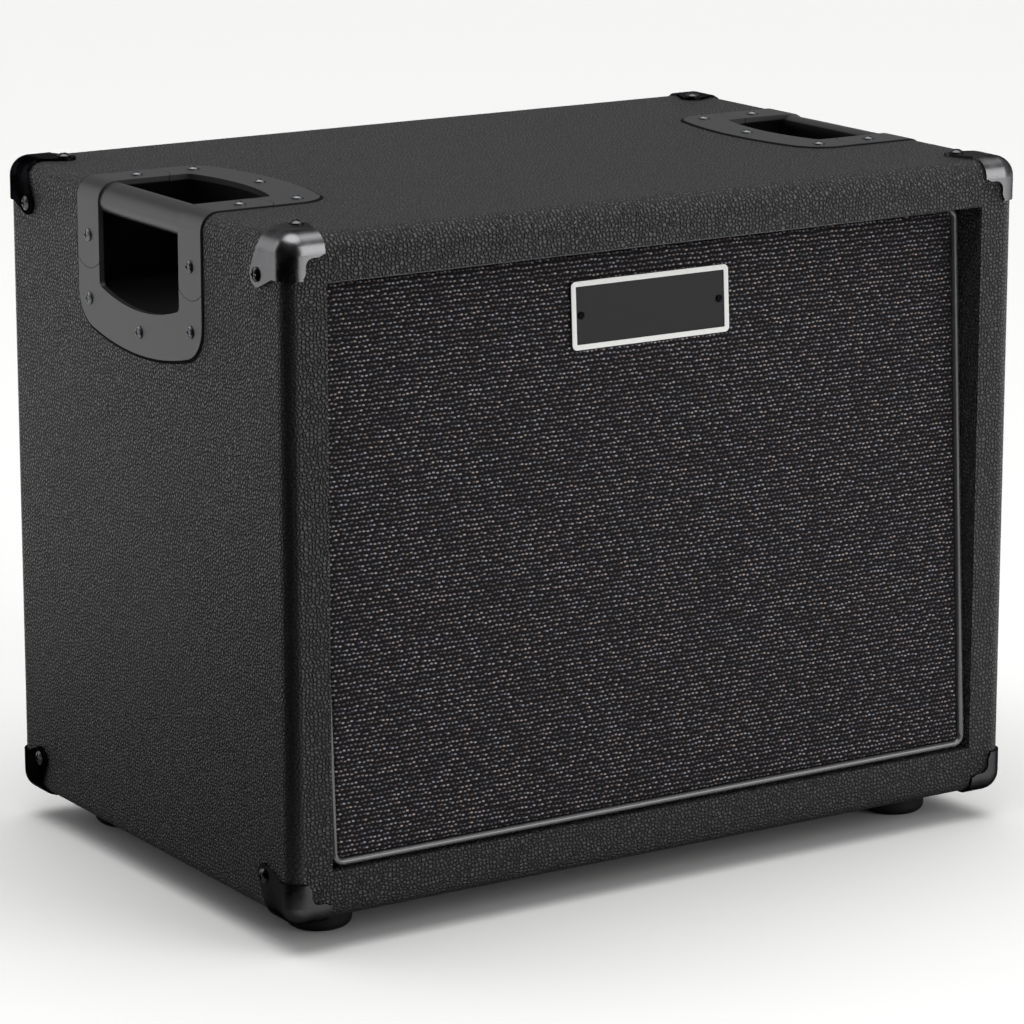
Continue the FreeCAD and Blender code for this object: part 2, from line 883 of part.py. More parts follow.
corner_rise = mm.corner_gap + mm.corner_gauge
corner_places = []
for x_sign in (-1, 1):
    for y_sign in (-1, 1):
        for z_sign in (-1, 1):
            y = y_sign * (half_depth.value - mm.corner_screw_back)
            half_height = mm.cabinet_height / 2
            side_x = x_sign * (half_width.value + corner_rise)
            side_z = middle_height.value + z_sign * (half_height - mm.corner_screw_drop)
            corner_places.append(facing((side_x, y, side_z), (x_sign, 0, 0)))
            flat_x = x_sign * (half_width.value - mm.corner_screw_drop)
            flat_z = middle_height.value + z_sign * (half_height + corner_rise)
            corner_places.append(facing((flat_x, y, flat_z), (0, 0, z_sign)))
corner_drills = drills("corner_drills", "corner", corner_places)
first_corner = cut("first_corner", solid("corner_pressing", pressing.removeSplitter()), corner_drills)
left_corners = [first_corner, mirrored("corner_low", first_corner, Vector(0, 0, 1), middle_height)]
front_corners = left_corners + [
    mirrored("corner_right", corner, Vector(1, 0, 0)) for corner in left_corners
]
back_corners = [mirrored("corner_back", corner, Vector(0, 1, 0)) for corner in front_corners]
keep(together("corners", front_corners + back_corners), "corner_protectors")
keep(solid("corner_screw_group", group(named_screw("corner"), corner_places)), "corner_screws")

# Feet, each with a washer in its well and one screw.
foot_radius = size.foot_diameter / 2
foot_hole = size.foot_screw_shank / 2 + size.screw_clearance
well_radius = size.foot_well_diameter / 2
well_top = size.foot_height - size.foot_floor
foot_places = []
washer_places = []
for depth_word, y_sign in (("front", -1), ("back", 1)):
    for side_word, x_sign in (("left", -1), ("right", 1)):
        foot = turned(
            f"foot_{depth_word}_{side_word}",
            [
                (well_radius, 0),
                (foot_radius - size.foot_round, 0, size.foot_round),
                (foot_radius, size.foot_round),
                (foot_radius, size.foot_height),
                (foot_hole, size.foot_height),
                (foot_hole, well_top),
                (well_radius, well_top),
            ],
        )
        x = x_sign * (half_width - size.foot_inset_side)
        y = y_sign * (half_depth - size.foot_inset_front)
        bind(foot, Placement_at_Base_at_x=x, Placement_at_Base_at_y=y)
        keep(foot, f"foot_{depth_word}_{side_word}")
        washer_low = (well_top - size.foot_washer_gauge).value
        foot_places.append(facing((x.value, y.value, washer_low), (0, 0, -1)))
        washer_places.append(Placement(Vector(x.value, y.value, washer_low), Rotation()))
washer = Part.makeCylinder(well_radius.value - mm.strap_seam, mm.foot_washer_gauge)
washer = washer.cut(Part.makeCylinder(foot_hole.value, mm.foot_washer_gauge))
keep(solid("foot_washer_group", group(washer, washer_places)), "foot_washers")
keep(solid("foot_screw_group", group(named_screw("foot"), foot_places)), "foot_screws")
foot_drills = drills("foot_drills", "foot", foot_places)

# The box of four boards.
full_depth = both_ways(half_depth)
side_slab = board("left_slab", (-half_width, -inside_half), full_depth, (underside, roof))
left_board = common("left_blank", core_block, side_slab)
left_board = cut("left_board", left_board, notch_left, rebate_left, corner_drills, handle_drills["left"])
keep(left_board, "left_side_board")
keep(mirrored("right_board", left_board, Vector(1, 0, 0)), "right_side_board")
top_slab = board("top_slab", both_ways(inside_half), full_depth, (inside_high, roof))
top_board = common("top_blank", core_block, top_slab)
top_board = cut("top_notched", top_board, notch_left, notch_right, rebate_left, rebate_right)
top_board = cut("top_drilled", top_board, corner_drills, handle_drills["left"], handle_drills["right"])
keep(top_board, "top_board")
bottom_slab = board("bottom_slab", both_ways(inside_half), full_depth, (underside, inside_low))
bottom_board = common("bottom_blank", core_block, bottom_slab)
keep(cut("bottom_drilled", bottom_board, corner_drills, foot_drills), "bottom_board")

# Strips inside the front edge, cut to the lean of the baffle that they carry.
skin_front = size.vinyl_gauge - half_depth
strip_back = size.set_back_top + baffle_back - half_depth
lined_half = opening_half + size.vinyl_gauge
strip_boxes = {
    "left": ((-inside_half, -lined_half), (inside_low, inside_high)),
    "right": ((lined_half, inside_half), (inside_low, inside_high)),
    "top": (both_ways(lined_half), (opening_high + size.vinyl_gauge, inside_high)),
    "bottom": (both_ways(lined_half), (inside_low, opening_low - size.vinyl_gauge)),
}
for where, (across, upright) in strip_boxes.items():
    blank = board(f"strip_{where}_blank", across, (skin_front, strip_back), upright)
    keep(cut(f"strip_{where}", blank, baffle_space), f"front_strip_{where}")

# Vinyl covering: outer skin, lining of the front opening and turn-in at the back.
back_face = half_depth - size.back_set_in
panel_front = back_face - size.back_gauge
front_hole = board(
    "front_hole",
    both_ways(opening_half),
    (-half_depth - size.edge_radius, strip_back),
    (opening_low, opening_high),
)
front_lining = board(
    "front_lining",
    both_ways(lined_half),
    (-half_depth, strip_back),
    (opening_low - size.vinyl_gauge, opening_high + size.vinyl_gauge),
)
front_lining = cut("front_lining_cut", front_lining, baffle_space)
turn_in = board("turn_in", both_ways(inside_half), (panel_front, half_depth), (inside_low, inside_high))
back_hole = board(
    "back_hole",
    both_ways(inside_half - size.vinyl_gauge),
    (panel_front - size.edge_radius, half_depth + size.edge_radius),
    (inside_low + size.vinyl_gauge, inside_high - size.vinyl_gauge),
)
skin = cut("skin", outer_block, core_block)
skin = cut("lined_skin", fused("skin_blank", skin, front_lining, turn_in), front_hole, back_hole)
keep(cut("vinyl", skin, rebate_left, rebate_right, corner_drills, foot_drills), "vinyl_covering")

# Back panel with its own vinyl, battens, screws and the socket plate.
panel_half = inside_half - size.vinyl_gauge - size.back_clearance
panel_low = inside_low + size.vinyl_gauge + size.back_clearance
panel_high = inside_high - size.vinyl_gauge - size.back_clearance
panel_middle = (panel_low + panel_high) / 2
jack_height = underside + size.jack_plate_rise
jack_cut = board(
    "jack_cut",
    both_ways(size.jack_cut_width / 2),
    (panel_front - size.back_gauge, half_depth),
    (jack_height - size.jack_cut_height / 2, jack_height + size.jack_cut_height / 2),
)
back_places = []
edge_x = (panel_half - size.back_screw_inset).value
edge_low = (panel_low + size.back_screw_inset).value
edge_high = (panel_high - size.back_screw_inset).value
for x in (-edge_x, 0, edge_x):
    for z in (edge_low, panel_middle.value, edge_high):
        if x or z != panel_middle.value:
            back_places.append(facing((x, back_face.value, z), (0, 1, 0)))
back_drills = drills("back_drills", "back", back_places)
plate_face = back_face + size.jack_plate_gauge
plate_screw_x = (size.jack_plate_width / 2 - size.jack_plate_screw_inset).value
plate_screw_z = (size.jack_plate_height / 2 - size.jack_plate_screw_inset).value
plate_places = []
for x in (-plate_screw_x, plate_screw_x):
    for z in (-plate_screw_z, plate_screw_z):
        plate_places.append(facing((x, plate_face.value, jack_height.value + z), (0, 1, 0)))
plate_drills = drills("plate_drills", "plate", plate_places)
skin_start = back_face - size.vinyl_gauge
panel = board("panel_blank", both_ways(panel_half), (panel_front, skin_start), (panel_low, panel_high))
keep(cut("panel", panel, jack_cut, back_drills, plate_drills), "back_panel")
panel_skin = board("panel_skin", both_ways(panel_half), (skin_start, back_face), (panel_low, panel_high))
keep(cut("panel_vinyl", panel_skin, jack_cut, back_drills, plate_drills), "back_panel_vinyl")
keep(solid("back_screw_group", group(named_screw("back"), back_places)), "back_panel_screws")

batten_depth = (panel_front - size.batten, panel_front)
batten_half = inside_half - size.batten
batten_boxes = (
    ((-inside_half, -batten_half), (inside_low, inside_high)),
    ((batten_half, inside_half), (inside_low, inside_high)),
    (both_ways(batten_half), (inside_low, inside_low + size.batten)),
    (both_ways(batten_half), (inside_high - size.batten, inside_high)),
)
battens = []
for number, (across, upright) in enumerate(batten_boxes):
    blank = board(f"batten_blank_{number}", across, batten_depth, upright)
    battens.append(cut(f"batten_{number}", blank, back_drills))
keep(together("battens", battens), "back_battens")

jack_plate = eased_box(
    "jack_plate_blank",
    size.jack_plate_width,
    size.jack_plate_gauge,
    size.jack_plate_height,
    size.jack_plate_round,
)
bind(
    jack_plate,
    Placement_at_Base_at_x=-(size.jack_plate_width / 2),
    Placement_at_Base_at_y=back_face,
    Placement_at_Base_at_z=jack_height - size.jack_plate_height / 2,
)


def rod(label, x, y, z, radius, length):
    # A cylinder that runs towards the back.
    thing = doc.addObject("Part::Cylinder", label)
    thing.Placement = Placement(Vector(), Rotation(Vector(-1, 0, 0), 90))
    bind(
        thing,
        Radius=radius,
        Height=length,
        Placement_at_Base_at_x=x,
        Placement_at_Base_at_y=y,
        Placement_at_Base_at_z=z,
    )
    return thing


bush_radius = size.jack_bush_diameter / 2
bush_length = size.jack_plate_gauge + size.jack_bush_rise
sockets = []
nut_places = []
for word, sign in (("a", -1), ("b", 1)):
    x = sign * size.jack_spread
    housing = board(
        f"socket_{word}_housing",
        (x - size.jack_body_width / 2, x + size.jack_body_width / 2),
        (back_face - size.jack_body_depth, back_face),
        (jack_height - size.jack_body_height / 2, jack_height + size.jack_body_height / 2),
    )
    bush = rod(f"socket_{word}_bush", x, back_face, jack_height, bush_radius, bush_length)
    bore_start = back_face + bush_length - size.jack_bore_depth
    bore = rod(f"socket_{word}_bore", x, bore_start, jack_height, size.jack_bore / 2, size.jack_bore_depth)
    sockets.append(cut(f"socket_{word}", fused(f"socket_{word}_solid", housing, bush), bore))
    hole_radius = bush_radius + size.jack_fit
    hole = rod(f"plate_hole_{word}", x, back_face, jack_height, hole_radius, size.jack_plate_gauge)
    jack_plate = cut(f"jack_plate_{word}", jack_plate, hole)
    nut_places.append(facing((x.value, plate_face.value, jack_height.value), (0, 1, 0)))
keep(cut("jack_plate_drilled", jack_plate, plate_drills), "jack_plate")
keep(together("sockets", sockets), "jack_sockets")
nut_radius = mm.jack_nut_flats / math.sqrt(3)
nut_corners = []
for number in range(7):
    angle = number * math.pi / 3
    nut_corners.append(Vector(math.cos(angle), math.sin(angle), 0) * nut_radius)
nut = Part.Face(Part.makePolygon(nut_corners)).extrude(Vector(0, 0, mm.jack_nut_gauge))
nut = nut.cut(Part.makeCylinder((bush_radius + size.jack_fit).value, mm.jack_nut_gauge))
keep(solid("jack_nut_group", group(nut, nut_places)), "jack_nuts")
keep(solid("plate_screw_group", group(named_screw("plate"), plate_places)), "jack_plate_screws")

# Grille: rails, cloth over them, piping round the edge, badge and pads.
cloth_inset = size.piping_diameter + size.glue_line
rail_inset = cloth_inset + size.cloth_gauge
rail_half = opening_half - size.grille_gap - rail_inset
rail_low = size.grille_gap + rail_inset
rail_high = lean_length - rail_low
rail_depth = (size.cloth_gauge, pad_depth)
badge_top = (roof - size.badge_drop - lean_z) / cosine(lean)
badge_middle = badge_top - size.badge_height / 2
badge_screw_x = (size.badge_width / 2 - size.badge_screw_inset).value
badge_places = []
for x in (-badge_screw_x, badge_screw_x):
    badge_places.append(leaning_spot(x, -size.badge_gauge, badge_middle, (0, -1, 0)))
badge_drills = drills("badge_drills", "badge", badge_places)
rail_block = grille_block("rail_block", rail_inset, rail_depth)
rail_boxes = {
    "left": ((-rail_half, size.rail_width - rail_half), (rail_low, rail_high)),
    "right": ((rail_half - size.rail_width, rail_half), (rail_low, rail_high)),
    "top": (both_ways(rail_half - size.rail_width), (rail_high - size.top_rail_width, rail_high)),
    "bottom": (both_ways(rail_half - size.rail_width), (rail_low, rail_low + size.rail_width)),
}
for where, (across, upright) in rail_boxes.items():
    rail_box = leaning_board(f"rail_{where}_box", across, rail_depth, upright)
    rail = common(f"rail_{where}", rail_block, rail_box)
    keep(cut(f"rail_{where}_drilled", rail, badge_drills), f"grille_rail_{where}")
cloth = grille_block("cloth_outside", cloth_inset, (formula(0), pad_depth))
cloth = cut("cloth", cloth, grille_block("cloth_inside", rail_inset, rail_depth), badge_drills)
keep(cloth, "grille_cloth")


def rounded_route(corners, trim_at, closed=False):
    # Straight runs joined by tangent arcs. trim_at gives the length that an arc takes from both its runs.
    count = len(corners)
    lines = []
    trims = {}
    for number in range(count) if closed else range(1, count - 1):
        here = corners[number]
        back = corners[number - 1] - here
        onward = corners[(number + 1) % count] - here
        half_angle = back.getAngle(onward) / 2
        trim = trim_at(back.Length, onward.Length, half_angle)
        back.normalize()
        onward.normalize()
        bend = trim * math.tan(half_angle)
        middle = here + (back + onward).normalize() * (bend / math.sin(half_angle) - bend)
        trims[number] = (here + back * trim, middle, here + onward * trim)
    for number in range(count if closed else count - 1):
        following = (number + 1) % count
        start = trims[number][2] if number in trims else corners[number]
        end = trims[following][0] if following in trims else corners[following]
        lines.append(Part.LineSegment(start, end).toShape())
        if following in trims:
            lines.append(Part.Arc(*trims[following]).toShape())
    return Part.Wire(lines)


def fixed_bend(radius):
    return lambda before, after, half_angle: radius / math.tan(half_angle)


def widest_bend(before, after, half_angle):
    return bend_share * min(before, after)


def tube(route, diameter):
    start = route.Edges[0].Vertexes[0].Point
    along = route.Edges[0].tangentAt(route.Edges[0].FirstParameter)
    ring_wire = Part.Wire(Part.Circle(start, along, diameter / 2).toShape())
    return route.makePipeShell([ring_wire], True, False)


cord_half = (opening_half - size.grille_gap).value - mm.piping_diameter / 2
cord_low = mm.grille_gap + mm.piping_diameter / 2
cord_high = lean_length.value - cord_low
cord_corners = [
    Vector(-cord_half, 0, cord_low),
    Vector(cord_half, 0, cord_low),
    Vector(cord_half, 0, cord_high),
    Vector(-cord_half, 0, cord_high),
]
cord_bend = mm.grille_corner_radius - mm.piping_diameter / 2
cord = solid(
    "piping_cord",
    tube(rounded_route(cord_corners, fixed_bend(cord_bend), closed=True), mm.piping_diameter),
    leaning_place(formula(0), formula(0)),
)
tail_outside = grille_block(
    "tail_outside", size.piping_diameter - size.piping_tail_gauge, (formula(0), size.piping_tail)
)
tail_inside = grille_block("tail_inside", size.piping_diameter, (formula(0), size.piping_tail))
keep(fused("piping", cord, cut("piping_tail_ring", tail_outside, tail_inside)), "grille_piping")

badge_half = size.badge_width / 2
badge_low = badge_top - size.badge_height
badge_plate = leaning(
    eased_box(
        "badge_blank", size.badge_width, size.badge_gauge, size.badge_height, size.badge_corner_radius
    ),
    -badge_half,
    -size.badge_gauge,
    badge_low,
)
border_front = -(size.badge_gauge + size.badge_border_rise)
border_outside = leaning(
    eased_box(
        "border_outside",
        size.badge_width,
        size.badge_border_rise,
        size.badge_height,
        size.badge_corner_radius,
    ),
    -badge_half,
    border_front,
    badge_low,
)
border_inside = leaning_board(
    "border_inside",
    both_ways(badge_half - size.badge_border),
    (border_front, -size.badge_gauge),
    (badge_low + size.badge_border, badge_top - size.badge_border),
)
badge_plate = fused("badge", badge_plate, cut("badge_border", border_outside, border_inside))
keep(cut("badge_drilled", badge_plate, badge_drills), "badge_plate")
keep(solid("badge_screw_group", group(named_screw("badge"), badge_places)), "badge_screws")

pad_x = rail_half - size.rail_width / 2
for word, start in (("grille_hook_pads", pad_depth), ("baffle_loop_pads", pad_depth + size.pad_gauge)):
    pads = []
    for middle in (-pad_x, pad_x):
        for low in (rail_low + size.pad_inset, rail_high - size.pad_inset - size.pad_length):
            pads.append(
                leaning_board(
                    f"{word}_{len(pads)}",
                    (middle - size.pad_width / 2, middle + size.pad_width / 2),
                    (start, start + size.pad_gauge),
                    (low, low + size.pad_length),
                )
            )
    keep(together(f"{word}_group", pads), word)


# Loudspeaker pieces, turned round the axis of the cut-out and placed behind the baffle.
def behind_baffle(body):
    return leaning(body, formula(0), baffle_back, speaker_up, quarter_turn)


def speaker_piece(label, corners):
    return keep(behind_baffle(turned(f"{label}_body", corners)), label)


def speaker_ring(label, inner, outer, low, high):
    return keep(behind_baffle(ring(f"{label}_body", inner, outer, low, high)), label)


def bow_radius(chord, rise):
    return (chord * chord / 4 + rise * rise) / (2 * rise)


ledge = size.ledge_depth
flange = size.gasket_gauge
thick = size.basket_gauge
ledge_edge = size.ledge_diameter / 2
step = ledge_edge + size.ledge_width
cut_out_radius = step + size.step_clearance
speaker_radius = cut_out_radius + size.flange_lap
bolt_circle = 2 * (speaker_radius - size.bolt_inset)
shelf = size.spider_ledge_depth
well = size.basket_well_diameter / 2
shelf_edge = well + size.spider_ledge_width
former_radius = size.coil_diameter / 2 + size.former_gauge
winding_radius = former_radius + size.glue_line + size.winding_gauge
gap_radius = winding_radius + size.coil_clearance
base = size.basket_depth
bolt_hole = size.bolt_shank + 4 * size.screw_clearance

gasket = speaker_ring("speaker_gasket", cut_out_radius, speaker_radius, formula(0), flange)
drill_ring(gasket, "gasket_holes", bolt_circle, bolt_hole, bolt_count)
basket = speaker_piece(
    "speaker_basket",
    [
        (speaker_radius, flange),
        (speaker_radius, flange + thick),
        (step + thick, flange + thick),
        (step + thick, ledge + thick),
        (ledge_edge + thick, ledge + thick),
        (shelf_edge + thick, shelf + thick),
        (well + thick, shelf + thick),
        (well + thick, base),
        (gap_radius, base),
        (gap_radius, base - thick),
        (well, base - thick),
        (well, shelf),
        (shelf_edge, shelf),
        (ledge_edge, ledge),
        (step, ledge),
        (step, flange),
    ],
)
window_pitch = math.pi / window_count
window_start = window_pitch * leg_share
window_end = 2 * window_pitch - window_start
window_outer = ledge_edge - size.window_rim_outer
window_inner = shelf_edge + size.window_rim_inner
window_sketch = start_sketch(basket, "basket_window_outline", "XY_Plane")
draw(
    window_sketch,
    [
        (window_outer * math.cos(window_start), window_outer * math.sin(window_start), window_outer),
        (window_outer * math.cos(window_end), window_outer * math.sin(window_end)),
        (window_inner * math.cos(window_end), window_inner * math.sin(window_end), -window_inner),
        (window_inner * math.cos(window_start), window_inner * math.sin(window_start)),
    ],
)
pocket_ring(basket, "basket_windows", window_sketch, window_count)
drill_ring(basket, "basket_holes", bolt_circle, bolt_hole, bolt_count)

# Cone, surround, dust cap, coil and spider.
cone_edge = ledge_edge - size.surround_width
cone_start = cone_edge - size.cone_lip
neck = former_radius + size.glue_line
cone_bottom = ledge + size.cone_depth
speaker_piece(
    "speaker_cone",
    [
        (cone_edge, ledge),
        (cone_edge, ledge + size.cone_gauge),
        (cone_start, ledge + size.cone_gauge),
        (neck, cone_bottom + size.cone_gauge),
        (neck, cone_bottom),
        (cone_start, ledge),
    ],
)


def waved(outer, inner, start, end, level, gauge, count, rise):
    # A thin disc with a flat at each edge and arcs between them that bow to one side and the other.
    chord = (start - end) / count
    bend = bow_radius(chord, rise)
    forward = [(outer, level)]
    for number in range(count):
        forward.append((start - chord * number, level, bend if number % 2 else -bend))
    forward.append((end, level))
    back = [(inner, level), (inner, level + gauge)]
    for number in range(count, 0, -1):
        back.append((start - chord * number, level + gauge, -bend if number % 2 == 0 else bend))
    back.extend([(start, level + gauge), (outer, level + gauge)])
    return forward + back


speaker_piece(
    "speaker_surround",
    waved(
        step - size.glue_line,
        cone_start,
        ledge_edge,
        cone_edge,
        ledge - size.surround_gauge,
        size.surround_gauge,
        surround_rolls,
        size.roll_height,
    ),
)
cap_edge = size.dust_cap_diameter / 2
cap_seat = ledge + size.cone_depth * (cone_start - cap_edge) / (cone_start - neck)
cap_rim = cap_seat - size.glue_line - size.dust_cap_gauge
cap_bend = bow_radius(2 * cap_edge, size.dust_cap_rise)
speaker_piece(
    "dust_cap",
    [
        (cap_edge, cap_rim),
        (cap_edge, cap_rim + size.dust_cap_gauge, -cap_bend),
        (0, cap_rim + size.dust_cap_gauge - size.dust_cap_rise),
        (0, cap_rim - size.dust_cap_rise, cap_bend),
    ],
)
former_top = cone_bottom - size.former_gauge
speaker_ring(
    "coil_former", size.coil_diameter / 2, former_radius, former_top, former_top + size.former_length
)
winding_low = base + size.front_plate_gauge / 2 - size.winding_length / 2
speaker_ring(
    "coil_winding",
    former_radius + size.glue_line,
    winding_radius,
    winding_low,
    winding_low + size.winding_length,
)
speaker_piece(
    "spider",
    waved(
        shelf_edge - size.glue_line,
        neck,
        well + size.spider_flat,
        neck + size.spider_flat,
        shelf - size.spider_gauge,
        size.spider_gauge,
        spider_waves,
        size.spider_wave,
    ),
)

# Magnet: front plate, ceramic ring, and back plate with its pole.
magnet_low = base + size.front_plate_gauge
magnet_high = magnet_low + size.magnet_gauge
back_plate_high = magnet_high + size.back_plate_gauge
pole = size.coil_diameter / 2 - size.coil_clearance
vent = size.vent_diameter / 2
speaker_ring("front_plate", gap_radius, size.front_plate_diameter / 2, base, magnet_low)
speaker_ring("ceramic_magnet", size.magnet_bore / 2, size.magnet_diameter / 2, magnet_low, magnet_high)
speaker_piece(
    "pole_piece",
    [
        (vent, base),
        (pole, base),
        (pole, magnet_high),
        (size.back_plate_diameter / 2, magnet_high),
        (size.back_plate_diameter / 2, back_plate_high),
        (vent, back_plate_high),
    ],
)


# Terminal block with two tags, and the leads on both sides of them. The block points to the ground.
def speaker_box(x, y, z):
    corner = Vector(x[0], y[0], z[0])
    return Part.makeBox(x[1] - x[0], y[1] - y[0], z[1] - z[0], corner)


block_low = (shelf + thick).value
block_far = shelf_edge.value
block_near = block_far - mm.terminal_depth
half_block = mm.terminal_width / 2
block = speaker_box(
    (-half_block, half_block), (block_near, block_far), (block_low, block_low + mm.terminal_height)
)
keep(solid("terminal_block_body", block, speaker_place), "terminal_block")
tag_low = block_low + mm.tag_rise
tag_middle = block_far + mm.tag_length / 2
tags = []
tinsel = []
for sign in (-1, 1):
    x = sign * mm.tag_spread
    tags.append(
        speaker_box(
            (x - mm.tag_width / 2, x + mm.tag_width / 2),
            (block_far, block_far + mm.tag_length),
            (tag_low, tag_low + mm.tag_gauge),
        )
    )
    cone_fall = mm.cone_depth / (cone_start - neck).value
    cone_back = mm.ledge_depth + mm.cone_gauge + (cone_start.value - tag_middle) * cone_fall
    low = Vector(x, tag_middle, cone_back + mm.tinsel_diameter / 2)
    high = Vector(x, tag_middle, tag_low - mm.tinsel_diameter / 2)
    bowed = (low + high) * half_share + Vector(0, mm.tinsel_bow, 0)
    tinsel.append(tube(Part.Wire(Part.Arc(low, bowed, high).toShape()), mm.tinsel_diameter))
keep(solid("terminal_tag_group", Part.makeCompound(tags), speaker_place), "terminal_tags")
keep(solid("tinsel_lead_group", Part.makeCompound(tinsel), speaker_place), "tinsel_leads")

rearward = speaker_place.Rotation.multVec(Vector(0, 0, 1))
socket_end = (back_face - size.jack_body_depth).value
wires = []
for word, sign in (("negative", -1), ("positive", 1)):
    tag_back = tag_low + mm.tag_gauge + mm.glue_line
    start = speaker_place.multVec(Vector(sign * mm.tag_spread, tag_middle, tag_back))
    end = Vector(sign * mm.wire_spread - mm.jack_spread, socket_end - mm.glue_line, jack_height.value)
    leave = start + rearward * mm.wire_run
    arrive = end - Vector(0, mm.wire_run, 0)
    sag = (leave + arrive) * half_share - Vector(0, 0, mm.wire_sag)
    route = rounded_route([start, leave, sag, arrive, end], widest_bend)
    bends = ", ".join(f"{edge.Curve.Radius:.1f}" for edge in route.Edges if hasattr(edge.Curve, "Radius"))
    wire = tube(route, mm.wire_diameter)
    section = math.pi * mm.wire_diameter ** 2 / 4
    print(
        f"speaker wire {word}: {route.Length:.1f} mm long, bends of {bends} mm, "
        f"volume {wire.Volume:.1f} against {section * route.Length:.1f} mm3"
    )
    wires.append(wire)
keep(solid("speaker_wire_pair", Part.makeCompound(wires)), "speaker_wires")
links = []
inner_face = mm.jack_spread - mm.jack_body_width / 2
for rise in (-mm.link_spread, mm.link_spread):
    at = Vector(-inner_face, socket_end + mm.link_spread, jack_height.value + rise)
    links.append(Part.makeCylinder(mm.link_diameter / 2, 2 * inner_face, at, Vector(1, 0, 0)))
keep(solid("jack_link_group", Part.makeCompound(links)), "jack_links")

# Bolts that hold the loudspeaker, and the tee nuts that they screw into.
bolt = Part.makeCylinder(mm.bolt_shank / 2, mm.bolt_length, Vector(0, 0, -mm.bolt_length))
bolt_top = Part.makeCylinder(mm.bolt_head / 2, mm.bolt_rise)
bolt_top = bolt_top.makeFillet(mm.bolt_rise * head_edge_share, [bolt_top.Edges[0]])
bolt = bolt.fuse(bolt_top).removeSplitter()
nut_bore = mm.bolt_shank / 2 + mm.screw_clearance
tee_nut = Part.makeCylinder(mm.tee_nut_flange / 2, mm.tee_nut_gauge)
barrel_low = Vector(0, 0, -mm.tee_nut_length)
tee_nut = tee_nut.fuse(Part.makeCylinder(mm.tee_nut_barrel / 2, mm.tee_nut_length, barrel_low))
tee_nut = tee_nut.cut(Part.makeCylinder(nut_bore, mm.tee_nut_length + mm.tee_nut_gauge, barrel_low))
nut_hole = Part.makeCylinder(mm.tee_nut_barrel / 2 + mm.tee_nut_fit, mm.baffle_gauge)
bolt_places = []
nut_places = []
hole_places = []
for number in range(bolt_count):
    angle = math.pi / bolt_count + number * 2 * math.pi / bolt_count
    spot = Vector(math.cos(angle), math.sin(angle), 0) * (bolt_circle.value / 2)
    on_flange = Placement(spot + Vector(0, 0, (flange + thick).value), Rotation())
    in_front = Placement(spot - Vector(0, 0, mm.baffle_gauge), Rotation(Vector(1, 0, 0), 180))
    bolt_places.append(speaker_place * on_flange)
    nut_places.append(speaker_place * in_front)
    hole_places.append(speaker_place * Placement(spot - Vector(0, 0, mm.baffle_gauge), Rotation()))
keep(solid("bolt_group", group(bolt, bolt_places)), "speaker_bolts")
keep(solid("tee_nut_group", group(tee_nut, nut_places)), "tee_nuts")

# Baffle, cut to the lean inside the box.
lean_drop = baffle_back * sine(lean)
baffle_low = (inside_low - lean_z + size.board_clearance + lean_drop) / cosine(lean)
baffle_high = (inside_high - lean_z - size.board_clearance + baffle_front * sine(lean)) / cosine(lean)
baffle = leaning_board(
    "baffle_blank",
    both_ways(inside_half - size.board_clearance),
    (baffle_front, baffle_back),
    (baffle_low, baffle_high),
)
cut_out = doc.addObject("Part::Cylinder", "cut_out")
bind(cut_out, Radius=cut_out_radius, Height=size.baffle_gauge + 2 * size.pad_gauge)
leaning(cut_out, formula(0), baffle_front - size.pad_gauge, speaker_up, quarter_turn)
nut_holes = solid("tee_nut_holes", group(nut_hole, hole_places))
keep(cut("baffle", baffle, cut_out, nut_holes), "baffle_board")

# Recompute, test and write every piece.
doc.recompute()
for thing in doc.Objects:
    if "Invalid" in thing.State or "Error" in thing.State:
        raise RuntimeError(f"{thing.Label} did not compute: {thing.State}")
os.makedirs("parts", exist_ok=True)
for thing in nodes:
    if thing.Shape.isNull() or not thing.Shape.isValid():
        raise RuntimeError(f"{thing.Label} has no valid shape")
    thing.Shape.exportStep(f"parts/{thing.Label}.step")
    print(f"{thing.Label}: {len(thing.Shape.Solids)} solids, {thing.Shape.Volume / 1000:.2f} cm3")
print(f"{len(nodes)} pieces")
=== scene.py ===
import json
import math

import bpy
import numpy as np
from mathutils import Matrix, Vector


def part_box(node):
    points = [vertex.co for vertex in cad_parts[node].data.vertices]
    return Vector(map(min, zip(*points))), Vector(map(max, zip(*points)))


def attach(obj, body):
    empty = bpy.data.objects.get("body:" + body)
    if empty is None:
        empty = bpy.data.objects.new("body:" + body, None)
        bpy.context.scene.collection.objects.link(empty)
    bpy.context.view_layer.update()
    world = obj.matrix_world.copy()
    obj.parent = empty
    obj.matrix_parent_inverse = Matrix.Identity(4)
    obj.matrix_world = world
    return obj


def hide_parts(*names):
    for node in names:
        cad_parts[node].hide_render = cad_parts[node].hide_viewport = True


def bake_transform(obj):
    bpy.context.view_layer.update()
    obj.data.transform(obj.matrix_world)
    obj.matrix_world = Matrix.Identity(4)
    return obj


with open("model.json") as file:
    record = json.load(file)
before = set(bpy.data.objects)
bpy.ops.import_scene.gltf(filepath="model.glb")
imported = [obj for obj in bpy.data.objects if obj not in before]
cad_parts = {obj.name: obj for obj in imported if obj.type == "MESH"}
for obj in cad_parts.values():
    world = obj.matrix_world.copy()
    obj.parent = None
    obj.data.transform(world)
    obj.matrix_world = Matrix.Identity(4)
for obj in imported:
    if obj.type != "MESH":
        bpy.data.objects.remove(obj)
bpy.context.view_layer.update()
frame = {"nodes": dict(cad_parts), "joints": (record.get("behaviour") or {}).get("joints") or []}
nodes = frame["nodes"]
scene = bpy.context.scene
scene.view_settings.view_transform = "Standard"
print("frame loaded:", len(nodes), "workshop pieces")

